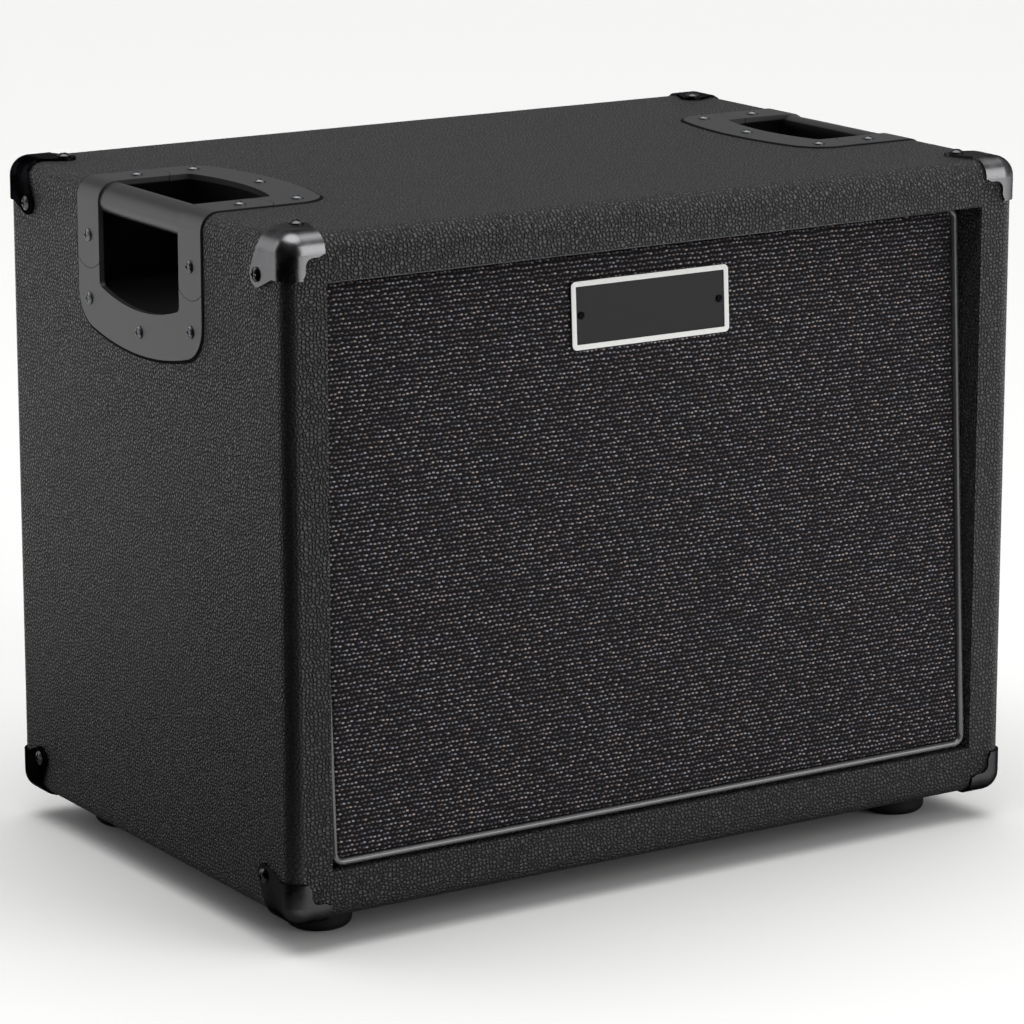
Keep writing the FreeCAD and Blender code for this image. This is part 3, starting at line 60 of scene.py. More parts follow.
# driving sizes: shapes are in metres as the frame is, the patterns of materials in millimetres
mmPerMetre = 1000.0
boxLow, boxHigh = [mmPerMetre * Vector(corner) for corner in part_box("vinyl_covering")]  # mm, the covered box
edgeRadius = 10.5  # mm, along the box's edges
outward = next(Vector(joint["axis"]) for joint in frame["joints"] if joint["name"] == "cone_travel")
rake = math.atan2(outward.z, -outward.y)  # grille, baffle and speaker all lean back by this angle
grilleFoot = (0.0, -0.1632, 0.0475)  # in the plane of the cloth's face, where the lean starts
baffleBack = -0.12011  # where the speaker's axis leaves the back of the baffle
speakerHeight = (boxLow.z + boxHigh.z) / 2 / mmPerMetre
lean = Matrix.Translation(grilleFoot) @ Matrix.Rotation(-rake, 4, "X")  # up the grille's face
speaker = (Matrix.Translation((0.0, baffleBack, speakerHeight))  # across, down and rearward from the baffle
           @ Matrix.Rotation(-rake - math.pi / 2, 4, "X"))


def linear(hexText):  # sRGB hex to the linear colour that shaders take
    parts = [int(hexText[i:i + 2], 16) / 255 for i in (1, 3, 5)]
    return tuple(c / 12.92 if c <= 0.04045 else ((c + 0.055) / 1.055) ** 2.4 for c in parts) + (1.0,)


def addNode(tree, kind, settings=None, links=None):  # one node, its settings and links; gives its outputs
    made = tree.nodes.new("ShaderNode" + kind)
    for key, value in (settings or {}).items():
        if isinstance(key, str) and hasattr(made, key):
            setattr(made, key, value)
        else:
            made.inputs[key].default_value = value
    for key, source in (links or {}).items():
        tree.links.new(source, made.inputs[key])
    return made.outputs


def startMaterial(name, surface):  # constant values go straight on the shader's own sockets
    made = bpy.data.materials.new(name)
    made.use_nodes = True
    shader = made.node_tree.nodes["Principled BSDF"]
    for socket, value in surface.items():
        shader.inputs[socket].default_value = value
    return made, made.node_tree, shader


def joinSurface(tree, shader, colour, rough, bump):  # what every patterned material ends in
    for socket, source in (("Base Color", colour), ("Roughness", rough), ("Normal", bump)):
        tree.links.new(source, shader.inputs[socket])


def newPiece(name, points, faces, material, smooth=True):  # a mesh in the frame's own metres
    mesh = bpy.data.meshes.new(name)
    mesh.from_pydata([tuple(p) for p in points], [], [tuple(f) for f in faces])
    mesh.polygons.foreach_set("use_smooth", [smooth] * len(mesh.polygons))
    mesh.materials.append(material)
    mesh.update()
    piece = bpy.data.objects.new(name, mesh)
    scene.collection.objects.link(piece)
    return piece


# camera, floor and lamps
cameraView = {
    "lens": 160.6, "sensor": 36.0,  # mm: a long lens from across the room
    "azimuth": 32.71,  # degrees to the left of straight ahead
    "elevation": 13.51,
    "distance": 2.7848,
    "target": (0.00057, 0.0, 0.19219),
    "clipEnd": 120.0,
}
studio = {
    "floorSize": (80.0, 80.0),
    "floorColour": "#f6f6f5",
    "roomLow": 0.225,  # light from the walls, and from the white ceiling overhead
    "roomHigh": 2.9,
    "ceilingEdge": (48.0, 72.0),  # degrees up where the ceiling starts, and where it is full
    "lamps": {  # place, aim, width and height of the softbox, watts
        "leftSoftbox": ((-1.6, 1.7, 1.1), (-0.2, 0.0, 0.25), (1.4, 1.6), 8.0),
        "frontSoftbox": ((1.3, -2.3, 1.15), (0.1, -0.1, 0.2), (1.9, 1.9), 27.0),
    },
    "flagReach": 0.62,  # radius of the black flag that darkens the rounded edges
    "flagHeight": 1.1,
    "flagFoot": 0.6,  # its foot runs in over the floor to this share of the radius
    "flagLift": 0.001,  # and clears the floor by this
    "flagArc": (20.0, 99.0),  # degrees from straight ahead, round to the left
    "flagSteps": 24,
    "cardSize": (2.4, 1.2), "cardLift": 0.0005,
    "cardBack": 0.527,  # the painted shadow is darkest from under the cabinet's front back to here
    "cardShade": "#7c7c7c",
    "cardFade": (0.6, 0.05),  # how far the painted shadow runs out past that, to the sides and fore and aft
}


def placeCamera(look):
    turn, rise = math.radians(look["azimuth"]), math.radians(look["elevation"])
    away = Vector((-math.sin(turn) * math.cos(rise), -math.cos(turn) * math.cos(rise), math.sin(rise)))
    data = bpy.data.cameras.new("photoCamera")
    data.lens = look["lens"]
    data.sensor_width = look["sensor"]
    data.clip_end = look["clipEnd"]
    camera = bpy.data.objects.new("photoCamera", data)
    camera.location = Vector(look["target"]) + away * look["distance"]
    camera.rotation_euler = (-away).to_track_quat("-Z", "Y").to_euler()
    scene.collection.objects.link(camera)
    scene.camera = camera


def makeReflectedShadowCard(look):
    # painted shadow: a card seen only in gloss, grey beside the cabinet, fading to the floor's own white, that
    # deepens the floor's shadow in reflections
    made, tree, shader = startMaterial("reflectedShadowCard", {"Roughness": 1.0, "Specular IOR Level": 0.0})
    front, back = boxLow.y / mmPerMetre, look["cardBack"]
    middle = (0.0, (back + front) / 2, 0.0)
    half = (boxHigh.x / mmPerMetre, (back - front) / 2, 1.0)  # a metre up, so height never counts
    fade = (*look["cardFade"], 1.0)
    out = addNode(tree, "TexCoord")["Object"]
    out = addNode(tree, "VectorMath", {"operation": "SUBTRACT", 1: middle}, {0: out})[0]
    out = addNode(tree, "VectorMath", {"operation": "ABSOLUTE"}, {0: out})[0]
    out = addNode(tree, "VectorMath", {"operation": "SUBTRACT", 1: half}, {0: out})[0]
    out = addNode(tree, "VectorMath", {"operation": "MAXIMUM"}, {0: out})[0]
    out = addNode(tree, "VectorMath", {"operation": "DIVIDE", 1: fade}, {0: out})[0]
    far = addNode(tree, "VectorMath", {"operation": "LENGTH"}, {0: out})["Value"]
    tone = addNode(tree, "MapRange", {"interpolation_type": "SMOOTHSTEP"}, {"Value": far})[0]
    colour = addNode(tree, "Mix", {
        "data_type": "RGBA", 6: linear(look["cardShade"]), 7: linear(look["floorColour"]),
    }, {0: tone})[2]
    tree.links.new(colour, shader.inputs["Base Color"])
    return made


def flatSheet(wide, long, height):  # the four corners of a level sheet about the middle
    return [(x * wide / 2, y * long / 2, height) for x, y in ((-1, -1), (1, -1), (1, 1), (-1, 1))]


def buildFlag(look):
    # painted shade: a black sheet on a curved frame, seen only in gloss, that darkens the reflections in the
    # rounded edges
    shadeSheet = startMaterial("glossOnlyShadeFlag", {
        "Base Color": linear("#050505"), "Roughness": 1.0, "Specular IOR Level": 0.0,
    })[0]
    arc = [math.radians(a) for a in np.linspace(*look["flagArc"], look["flagSteps"] + 1)]
    ring = [(-math.sin(a) * look["flagReach"], -math.cos(a) * look["flagReach"]) for a in arc]
    points = [(look["flagFoot"] * x, look["flagFoot"] * y, look["flagLift"]) for x, y in ring]
    points += [(x, y, z) for z in (look["flagLift"], look["flagHeight"]) for x, y in ring]
    count = len(ring)
    starts = [row + i for row in (0, count) for i in range(count - 1)]
    return newPiece("reflectedShadeFlag", points, [(a, a + 1, a + count + 1, a + count) for a in starts], shadeSheet)


def lightRoom(look):  # the world is a dim room with a bright ceiling
    world = bpy.data.worlds.new("studioRoom")
    world.use_nodes = True
    tree = world.node_tree
    room = tree.nodes["Background"]
    room.inputs["Color"].default_value = linear("#ffffff")
    start, full = [math.sin(math.radians(angle)) for angle in look["ceilingEdge"]]
    way = addNode(tree, "SeparateXYZ", links={0: addNode(tree, "TexCoord")["Generated"]})
    level = addNode(tree, "MapRange", {
        "interpolation_type": "SMOOTHSTEP", "From Min": start, "From Max": full,
        "To Min": look["roomLow"], "To Max": look["roomHigh"],
    }, {"Value": way["Z"]})[0]
    tree.links.new(level, room.inputs["Strength"])
    scene.world = world
    for name, (place, aim, size, watts) in look["lamps"].items():
        data = bpy.data.lights.new(name, "AREA")
        data.shape = "RECTANGLE"
        data.size, data.size_y = size
        data.energy = watts
        lamp = bpy.data.objects.new(name, data)
        lamp.location = place
        lamp.rotation_euler = (Vector(aim) - Vector(place)).to_track_quat("-Z", "Y").to_euler()
        scene.collection.objects.link(lamp)


def buildStudio(look):
    paper = startMaterial("seamlessPaper", {  # matt paper roll: no gloss, keeps the shadow
        "Base Color": linear(look["floorColour"]), "Roughness": 0.95, "Specular IOR Level": 0.0,
    })[0]
    floor = newPiece("studioFloor", flatSheet(*look["floorSize"], 0.0), [(0, 1, 2, 3)], paper)
    flag = buildFlag(look)
    sheet = flatSheet(*look["cardSize"], look["cardLift"])
    card = newPiece("reflectedShadowCard", sheet, [(0, 1, 2, 3)], makeReflectedShadowCard(look))
    for piece in (flag, card):  # painted shade: out of shot and seen only in gloss, they darken the reflections of the floor near the cabinet and of the rounded edges
        piece.visible_camera = piece.visible_diffuse = piece.visible_shadow = False
    lightRoom(look)


placeCamera(cameraView)
buildStudio(studio)
print("camera and studio placed")


# materials: object coordinates are turned to millimetres, so every pattern size below is a real one
noiseMiddle = (0.5, 0.5, 0.5)
noiseRange = (0.33, 0.67)  # what a noise of a few octaves mostly keeps within


def inMillimetres(tree):
    place = addNode(tree, "TexCoord")["Object"]
    return addNode(tree, "VectorMath", {"operation": "SCALE", "Scale": mmPerMetre}, {0: place})[0]


vinylLook = {
    # painted shade: the creases' darker colour stands for the shade that falls into them
    "tops": "#111112", "creaseShade": "#020202",
    "cell": 2.4,  # mm across one pebble of the grain
    "even": 0.85,  # how loosely the pebbles sit: 0 is a grid
    "wander": 1.0,  # mm that the creases stray from straight
    "bend": 2.2,  # pebbles to one bend of a crease
    "round": 0.36,  # share of a pebble, in from its crease, where it is still rising
    "pore": 0.55, "poreRise": 0.3,  # mm across a pore, and its share of a pebble's height
    "depth": 1.2,  # mm from crease to top, drawn deeper than it is so that it shows
    "sheen": (0.5, 1.0),  # painted shade: specular level lowered in the creases, where shade falls, and on the tops
    "rough": (0.62, 0.28),  # in the creases, and on the tops
    "patch": 60.0, "patchRough": 0.1,  # mm across a patch that handling has dulled, and by how much
    "flattened": 0.8,  # share of the grain that is pulled out where the cloth turns an upright edge
    "level": 0.35,  # how much of that the level edges get
    "pull": 3.0,  # mm over which it sets in
    "mitre": (0.45, 0.1),  # mm, half the width of the seam at the front's corners: its lips, and its floor
    "mitreFront": (1.0, 0.5),  # mm in from the front: where the seam starts, and where it is full
}


def makeVinyl(look):
    # PVC leathercloth, embossed by a hot roller: satin pebbles between dull creases, whose darker colour and
    # lower specular level are painted shade
    made, tree, shader = startMaterial("embossedLeathercloth", {"IOR": 1.5})
    mm = inMillimetres(tree)
    bend = look["bend"] * look["cell"]
    drift = addNode(tree, "TexNoise", {"Scale": 1 / bend, "Detail": 2.0}, {"Vector": mm})["Color"]
    drift = addNode(tree, "VectorMath", {"operation": "SUBTRACT", 1: noiseMiddle}, {0: drift})[0]
    stray = (2 * look["wander"],) * 3
    bent = addNode(tree, "VectorMath", {"operation": "MULTIPLY_ADD", 1: stray}, {0: drift, 2: mm})[0]
    bent = addNode(tree, "SeparateXYZ", links={0: bent})
    # the cloth lies flat on every face, so the grain is laid out in each face's own two directions
    faced = addNode(tree, "TexCoord")["Normal"]
    faced = addNode(tree, "VectorMath", {"operation": "ABSOLUTE"}, {0: faced})[0]
    faced = addNode(tree, "SeparateXYZ", links={0: faced})
    sideways = addNode(tree, "Math", {"operation": "GREATER_THAN"}, {0: faced["X"], 1: faced["Y"]})[0]
    level = math.cos(math.radians(45.0))  # a face that tips less than this lies level
    lying = addNode(tree, "Math", {"operation": "GREATER_THAN", 1: level}, {0: faced["Z"]})[0]
    along = addNode(tree, "Mix", links={0: sideways, 2: bent["X"], 3: bent["Y"]})[0]
    upright = addNode(tree, "CombineXYZ", links={0: along, 1: bent["Z"]})[0]
    flat = addNode(tree, "CombineXYZ", links={0: bent["X"], 1: bent["Y"]})[0]
    laid = addNode(tree, "Mix", {"data_type": "VECTOR"}, {0: lying, 4: upright, 5: flat})[1]
    cells = addNode(tree, "TexVoronoi", {
        "voronoi_dimensions": "2D", "feature": "DISTANCE_TO_EDGE",
        "Scale": 1 / look["cell"], "Randomness": look["even"],
    }, {"Vector": laid})["Distance"]
    pillow = addNode(tree, "MapRange", {
        "interpolation_type": "SMOOTHSTEP", "From Max": look["round"],
    }, {"Value": cells})[0]
    pores = addNode(tree, "TexNoise", {"Scale": 1 / look["pore"], "Detail": 2.0}, {"Vector": mm})[0]
    height = addNode(tree, "Math", {
        "operation": "MULTIPLY_ADD", 1: look["poreRise"],
    }, {0: pores, 2: pillow})[0]
    # how far each point is in from the box's faces, for the pulled edges and the mitred seams
    inset = addNode(tree, "VectorMath", {"operation": "SUBTRACT", 1: (boxLow + boxHigh) / 2}, {0: mm})[0]
    inset = addNode(tree, "VectorMath", {"operation": "ABSOLUTE"}, {0: inset})[0]
    inset = addNode(tree, "VectorMath", {"operation": "SUBTRACT", 0: (boxHigh - boxLow) / 2}, {1: inset})[0]
    near = addNode(tree, "MapRange", {
        "data_type": "FLOAT_VECTOR", "clamp": True, 7: (edgeRadius,) * 3, 8: (edgeRadius - look["pull"],) * 3,
    }, {6: inset})[1]
    near = addNode(tree, "SeparateXYZ", links={0: near})
    uprightEdge, longEdge, sideEdge = [
        addNode(tree, "Math", {"operation": "MULTIPLY"}, {0: near[one], 1: near[other]})[0]
        for one, other in (("X", "Y"), ("Y", "Z"), ("X", "Z"))
    ]
    levelEdge = addNode(tree, "Math", {"operation": "MAXIMUM"}, {0: longEdge, 1: sideEdge})[0]
    levelEdge = addNode(tree, "Math", {"operation": "MULTIPLY", 1: look["level"]}, {0: levelEdge})[0]
    pulled = addNode(tree, "Math", {"operation": "MAXIMUM"}, {0: uprightEdge, 1: levelEdge})[0]
    left = 1 - look["flattened"]
    strength = addNode(tree, "MapRange", {"To Min": 1.0, "To Max": left}, {"Value": pulled})[0]
    inset = addNode(tree, "SeparateXYZ", links={0: inset})
    skew = addNode(tree, "Math", {"operation": "SUBTRACT"}, {0: inset["X"], 1: inset["Z"]})[0]
    skew = addNode(tree, "Math", {"operation": "ABSOLUTE"}, {0: skew})[0]
    seam, facing = [
        addNode(tree, "MapRange", {"From Min": start, "From Max": full}, {"Value": source})[0]
        for (start, full), source in ((look["mitre"], skew), (look["mitreFront"], inset["Y"]))
    ]
    seam = addNode(tree, "Math", {"operation": "MULTIPLY"}, {0: seam, 1: facing})[0]
    height = addNode(tree, "Math", {"operation": "SUBTRACT"}, {0: height, 1: seam})[0]
    bump = addNode(tree, "Bump", {
        "Distance": look["depth"] / mmPerMetre,
    }, {"Height": height, "Strength": strength})[0]
    # painted shade: colour and specular level drop into the creases
    colour = addNode(tree, "Mix", {
        "data_type": "RGBA", 6: linear(look["creaseShade"]), 7: linear(look["tops"]),
    }, {0: pillow})[2]
    sheen, rough = [
        addNode(tree, "MapRange", {"To Min": crease, "To Max": top}, {"Value": pillow})[0]
        for crease, top in (look["sheen"], look["rough"])
    ]
    patch = addNode(tree, "TexNoise", {"Scale": 1 / look["patch"], "Detail": 3.0}, {"Vector": mm})[0]
    rough = addNode(tree, "Math", {
        "operation": "MULTIPLY_ADD", 1: look["patchRough"],
    }, {0: patch, 2: rough})[0]
    tree.links.new(sheen, shader.inputs["Specular IOR Level"])
    joinSurface(tree, shader, colour, rough, bump)
    return made


def makeFinish(name, colours, rough, grain, depth, stretch=(1, 1, 1), mottle=40.0, **surface):
    # a plain finish with a fine skin: colours and roughness drift between two ends
    # grain, depth and mottle are in mm
    made, tree, shader = startMaterial(name, {key.replace("_", " "): value for key, value in surface.items()})
    mm = inMillimetres(tree)
    drawn = addNode(tree, "VectorMath", {"operation": "MULTIPLY", 1: stretch}, {0: mm})[0]
    skin = addNode(tree, "TexNoise", {"Scale": 1 / grain, "Detail": 3.0}, {"Vector": drawn})[0]
    patch = addNode(tree, "TexNoise", {"Scale": 1 / mottle, "Detail": 4.0}, {"Vector": mm})[0]
    both = addNode(tree, "Math", {"operation": "ADD"}, {0: skin, 1: patch})[0]
    least, most = [2 * end for end in noiseRange]  # two noises are added up
    spread = addNode(tree, "MapRange", {"From Min": least, "From Max": most}, {"Value": both})[0]
    dark, pale = [linear(colour) for colour in colours]
    tint = addNode(tree, "Mix", {"data_type": "RGBA", 6: dark, 7: pale}, {0: spread})[2]
    gloss = addNode(tree, "MapRange", {"To Min": rough[0], "To Max": rough[1]}, {"Value": spread})[0]
    bump = addNode(tree, "Bump", {"Strength": 0.6, "Distance": depth / mmPerMetre}, {"Height": skin})[0]
    joinSurface(tree, shader, tint, gloss, bump)
    return made


handleLook = {
    # painted shade: the pocket's near-black colour and its dimmed specular tint stand for the shade inside it
    "face": "#2a2a2b", "pocket": "#050505", "pocketSheen": "#303030",
    "proud": 0.8,  # mm that the plates stand above the vinyl
    "wall": 3.2, "change": 0.4,  # mm, the moulding's thickness, and half of where skin turns to pocket
    "rough": (0.28, 0.75),  # outside, and in the pocket
    "speckle": 0.7, "depth": 0.03,  # mm across a speckle, and high
    "speckleRough": 0.16,
}


def makeHandle(look):
    # glass-filled nylon, moulded: polished tool outside, so smooth satin, and coarse matt inside the pocket;
    # the pocket's darker colour and dimmed reflection are painted shade
    made, tree, shader = startMaterial("mouldedNylon", {"IOR": 1.53})
    mm = inMillimetres(tree)
    turnAt = (boxHigh.x - edgeRadius, boxHigh.y, boxHigh.z - edgeRadius)  # where it turns over the edge
    place = addNode(tree, "VectorMath", {"operation": "ABSOLUTE"}, {0: mm})[0]
    place = addNode(tree, "VectorMath", {"operation": "SUBTRACT", 1: turnAt}, {0: place})[0]
    past = addNode(tree, "VectorMath", {"operation": "MAXIMUM"}, {0: place})[0]
    past = addNode(tree, "VectorMath", {"operation": "LENGTH"}, {0: past})["Value"]
    place = addNode(tree, "SeparateXYZ", links={0: place})
    short = addNode(tree, "Math", {"operation": "MAXIMUM"}, {0: place["X"], 1: place["Z"]})[0]
    short = addNode(tree, "Math", {"operation": "MINIMUM", 1: 0.0}, {0: short})[0]
    reach = addNode(tree, "Math", {"operation": "ADD"}, {0: past, 1: short})[0]
    inner = edgeRadius + look["proud"] - look["wall"]
    inside = addNode(tree, "MapRange", {
        "From Min": inner + look["change"], "From Max": inner - look["change"],
    }, {"Value": reach})[0]
    speckle = addNode(tree, "TexNoise", {"Scale": 1 / look["speckle"], "Detail": 3.0}, {"Vector": mm})[0]
    # painted shade: colour and specular tint darken into the pocket
    colour, sheen = [
        addNode(tree, "Mix", {"data_type": "RGBA", 6: linear(outside), 7: linear(pocket)}, {0: inside})[2]
        for outside, pocket in ((look["face"], look["pocket"]), ("#ffffff", look["pocketSheen"]))
    ]
    smooth, coarse = look["rough"]
    rough = addNode(tree, "MapRange", {"To Min": smooth, "To Max": coarse}, {"Value": inside})[0]
    rough = addNode(tree, "Math", {
        "operation": "MULTIPLY_ADD", 1: look["speckleRough"],
    }, {0: speckle, 2: rough})[0]
    depth = look["depth"] / mmPerMetre
    bump = addNode(tree, "Bump", {"Strength": 0.5, "Distance": depth}, {"Height": speckle})[0]
    tree.links.new(sheen, shader.inputs["Specular Tint"])
    joinSurface(tree, shader, colour, rough, bump)
    return made


cornerLook = {
    # painted reflection and shade: the plating is painted pale on the upper front caps and dark on the rear
    # and bottom ones
    "rubbed": ("#737375", "#808082"), "paintedShadeTone": ("#232325", "#2c2c2e"), "sheen": "#8c8c8c",
    "reflectLine": (60.0, -60.0),  # mm: behind the first the plating is painted dark, ahead of the second it is painted pale
    "reflectRise": (120.0, 280.0), "lowReflect": 0.3,  # mm: from the bottom caps, painted darker, to the upper ones
    "rough": (0.22, 0.34),
    "cloud": 12.0,  # mm across a cloud of tone
    "ripple": 9.0, "depth": 0.02,  # mm across a ripple, and high
}


def makeCorner(look):
    # steel, pressed and black-nickel plated: black, with a painted pale reflection on the upper front caps and
    # painted shade on the rear and bottom ones
    made, tree, shader = startMaterial("blackNickelSteel", {
        "Metallic": 1.0, "Specular Tint": linear(look["sheen"]),
    })
    mm = inMillimetres(tree)
    place = addNode(tree, "SeparateXYZ", links={0: mm})
    # painted reflection: paler towards the front and up, darker towards the back and down
    ahead, rise = [
        addNode(tree, "MapRange", {
            "From Min": start, "From Max": full, "To Min": least,
        }, {"Value": source})[0]
        for (start, full), least, source in (
            (look["reflectLine"], 0.0, place["Y"]), (look["reflectRise"], look["lowReflect"], place["Z"]),
        )
    ]
    rub = addNode(tree, "Math", {"operation": "MULTIPLY"}, {0: ahead, 1: rise})[0]
    cloud = addNode(tree, "TexNoise", {"Scale": 1 / look["cloud"], "Detail": 4.0}, {"Vector": mm})[0]
    least, most = noiseRange
    cloud = addNode(tree, "MapRange", {"From Min": least, "From Max": most}, {"Value": cloud})[0]
    paintedShadeTone, rubbed = [
        addNode(tree, "Mix", {"data_type": "RGBA", 6: linear(dark), 7: linear(pale)}, {0: cloud})[2]
        for dark, pale in (look["paintedShadeTone"], look["rubbed"])
    ]
    colour = addNode(tree, "Mix", {"data_type": "RGBA"}, {0: rub, 6: paintedShadeTone, 7: rubbed})[2]
    smooth, coarse = look["rough"]
    rough = addNode(tree, "MapRange", {"To Min": smooth, "To Max": coarse}, {"Value": cloud})[0]
    ripple = addNode(tree, "TexNoise", {"Scale": 1 / look["ripple"], "Detail": 1.0}, {"Vector": mm})[0]
    depth = look["depth"] / mmPerMetre
    bump = addNode(tree, "Bump", {"Strength": 0.3, "Distance": depth}, {"Height": ripple})[0]
    joinSurface(tree, shader, colour, rough, bump)
    return made


badgeLook = {
    "field": "#0b0b0c", "border": "#e4e4e2",
    "step": 1.66, "change": 0.04,  # mm ahead of the cloth where the rim starts, and half its blend
    "rough": (0.34, 0.46),
    "peel": 1.8, "depth": 0.03,  # mm across a dimple of the enamel, and its depth
}


def makeBadge(look):
    # aluminium plate, stove enamelled: satin dark field, raised rim wiped with white enamel
    made, tree, shader = startMaterial("stoveEnamelPlate", {"IOR": 1.52, "Specular IOR Level": 0.25})
    mm = inMillimetres(tree)
    rearward = lean.to_3x3() @ Vector((0.0, 1.0, 0.0))
    step = mmPerMetre * rearward.dot(lean.translation) - look["step"]
    inward = addNode(tree, "VectorMath", {"operation": "DOT_PRODUCT", 1: rearward}, {0: mm})["Value"]
    rim = addNode(tree, "MapRange", {
        "From Min": step + look["change"], "From Max": step - look["change"],
    }, {"Value": inward})[0]
    peel = addNode(tree, "TexNoise", {"Scale": 1 / look["peel"], "Detail": 2.0}, {"Vector": mm})[0]
    depth = look["depth"] / mmPerMetre
    bump = addNode(tree, "Bump", {"Strength": 0.4, "Distance": depth}, {"Height": peel})[0]
    colour = addNode(tree, "Mix", {
        "data_type": "RGBA", 6: linear(look["field"]), 7: linear(look["border"]),
    }, {0: rim})[2]
    smooth, coarse = look["rough"]
    rough = addNode(tree, "MapRange", {"To Min": smooth, "To Max": coarse}, {"Value": peel})[0]
    joinSurface(tree, shader, colour, rough, bump)
    return made


finish = {
    "vinyl": makeVinyl(vinylLook),
    "handle": makeHandle(handleLook),
    "corner": makeCorner(cornerLook),
    "badge": makeBadge(badgeLook),
    # PVC piping, extruded: even satin grey with a soft long highlight
    "piping": makeFinish("extrudedPvcPiping", ("#3c3c3e", "#434345"),
                         rough=(0.12, 0.17), grain=6.0, depth=0.02, IOR=1.55, Specular_IOR_Level=1.0),
    # steel screws, black zinc: dark oily sheen
    "blackScrew": makeFinish("blackZincSteel", ("#4c4c4e", "#5a5a5d"),
                             rough=(0.14, 0.26), grain=1.2, depth=0.02, Metallic=1.0),
    # steel screws, blacked in oil: dull and nearly black
    "oilBlack": makeFinish("oilBlackedSteel", ("#101011", "#19191a"),
                           rough=(0.3, 0.42), grain=1.2, depth=0.02, Metallic=1.0),
    # steel, bright zinc plated and passivated: pale with a faint blue cast
    "zinc": makeFinish("brightZincSteel", ("#6a6c70", "#7e8083"),
                       rough=(0.24, 0.38), grain=1.5, depth=0.02, Metallic=1.0),
    # brass, nickel plated and polished: warm white mirror
    "nickel": makeFinish("polishedNickel", ("#cfccc4", "#dad8d2"),
                         rough=(0.1, 0.2), grain=2.0, depth=0.01, Metallic=1.0),
    # painted shadow: dead black, with almost no gloss, for the dark line round the handle plates
    "shadowLineBlack": makeFinish("paintedShadowLine", ("#050505", "#0a0a0a"),
                       rough=(0.85, 0.95), grain=0.8, depth=0.1, Specular_IOR_Level=0.12),
    # natural rubber, moulded: matt black with a dusty bloom
    "rubber": makeFinish("mouldedRubber", ("#080809", "#101011"),
                         rough=(0.62, 0.82), grain=1.0, depth=0.06, mottle=9.0, IOR=1.52),
    # plywood, brushed with thin black paint: grain shows through as faint long ridges
    "blackPly": makeFinish("paintedPlywood", ("#0e0e0f", "#191919"),
                           rough=(0.6, 0.8), grain=1.6, depth=0.12, stretch=(0.06, 1, 1)),
    # birch plywood, sawn and left raw: pale and long-grained
    "birch": makeFinish("rawBirchPlywood", ("#b6915f", "#d0b184"),
                        rough=(0.6, 0.75), grain=1.8, depth=0.1, stretch=(0.07, 1, 1)),
    # nylon hook and loop tape, woven: dull black with a fine pile
    "tape": makeFinish("wovenNylonTape", ("#0c0c0d", "#1c1c1e"),
                       rough=(0.75, 0.95), grain=0.8, depth=0.2, mottle=3.0),
    # grey board, pressed from fibres: matt and faintly flecked
    "gasket": makeFinish("pressedFibreBoard", ("#4a4239", "#5d5448"),
                         rough=(0.8, 0.95), grain=1.4, depth=0.15, mottle=6.0),
    # cone paper, felted from wet pulp: charcoal with pale fibre flecks
    "paper": makeFinish("feltedConePaper", ("#2a2826", "#3a3734"),
                        rough=(0.75, 0.92), grain=1.1, depth=0.15, mottle=5.0),
    # cotton, woven then doped with sticky lacquer: dark with an uneven shine
    "surround": makeFinish("dopedCottonCloth", ("#101010", "#1c1b1a"),
                           rough=(0.35, 0.6), grain=0.9, depth=0.2, mottle=7.0),
    # cotton, woven and stiffened with amber varnish: golden, half glossy
    "spider": makeFinish("varnishedCottonCloth", ("#a8752f", "#c2913f"),
                         rough=(0.5, 0.65), grain=0.9, depth=0.2, mottle=6.0),
    # polyimide film, rolled: clear amber brown
    "former": makeFinish("polyimideFilm", ("#8f4d12", "#a65e1c"),
                         rough=(0.2, 0.3), grain=5.0, depth=0.01, IOR=1.7),
    # copper wire, drawn and enamelled: orange brown with fine turns
    "copper": makeFinish("drawnCopper", ("#b5683f", "#c67d52"),
                         rough=(0.25, 0.38), grain=0.6, depth=0.03, stretch=(1, 4, 1), Metallic=1.0),
    # ferrite, pressed and fired: charcoal stone with a ground face
    "ferrite": makeFinish("firedFerrite", ("#2b2b2d", "#38383a"),
                          rough=(0.5, 0.65), grain=1.3, depth=0.05, mottle=8.0),
    # phenolic board, laminated: dark brown and dense
    "phenolic": makeFinish("laminatedPhenolic", ("#2a1b12", "#372519"),
                           rough=(0.4, 0.52), grain=1.5, depth=0.04),
    # nylon, injection moulded: glossy black
    "socket": makeFinish("mouldedBlackNylon", ("#0d0d0e", "#141415"),
                         rough=(0.28, 0.38), grain=1.5, depth=0.02),
    # steel, powder coated: fine orange peel, satin black
    "powder": makeFinish("powderCoatedSteel", ("#121213", "#1b1b1c"),
                         rough=(0.4, 0.52), grain=1.4, depth=0.06),
    # PVC insulation, extruded: soft gloss
    "redWire": makeFinish("redPvcInsulation", ("#8f1512", "#a31d18"),
                          rough=(0.35, 0.45), grain=4.0, depth=0.03),
    "blackWire": makeFinish("blackPvcInsulation", ("#0f0f10", "#18181a"),
                            rough=(0.35, 0.45), grain=4.0, depth=0.03),
}
print(len(finish), "finishes mixed")

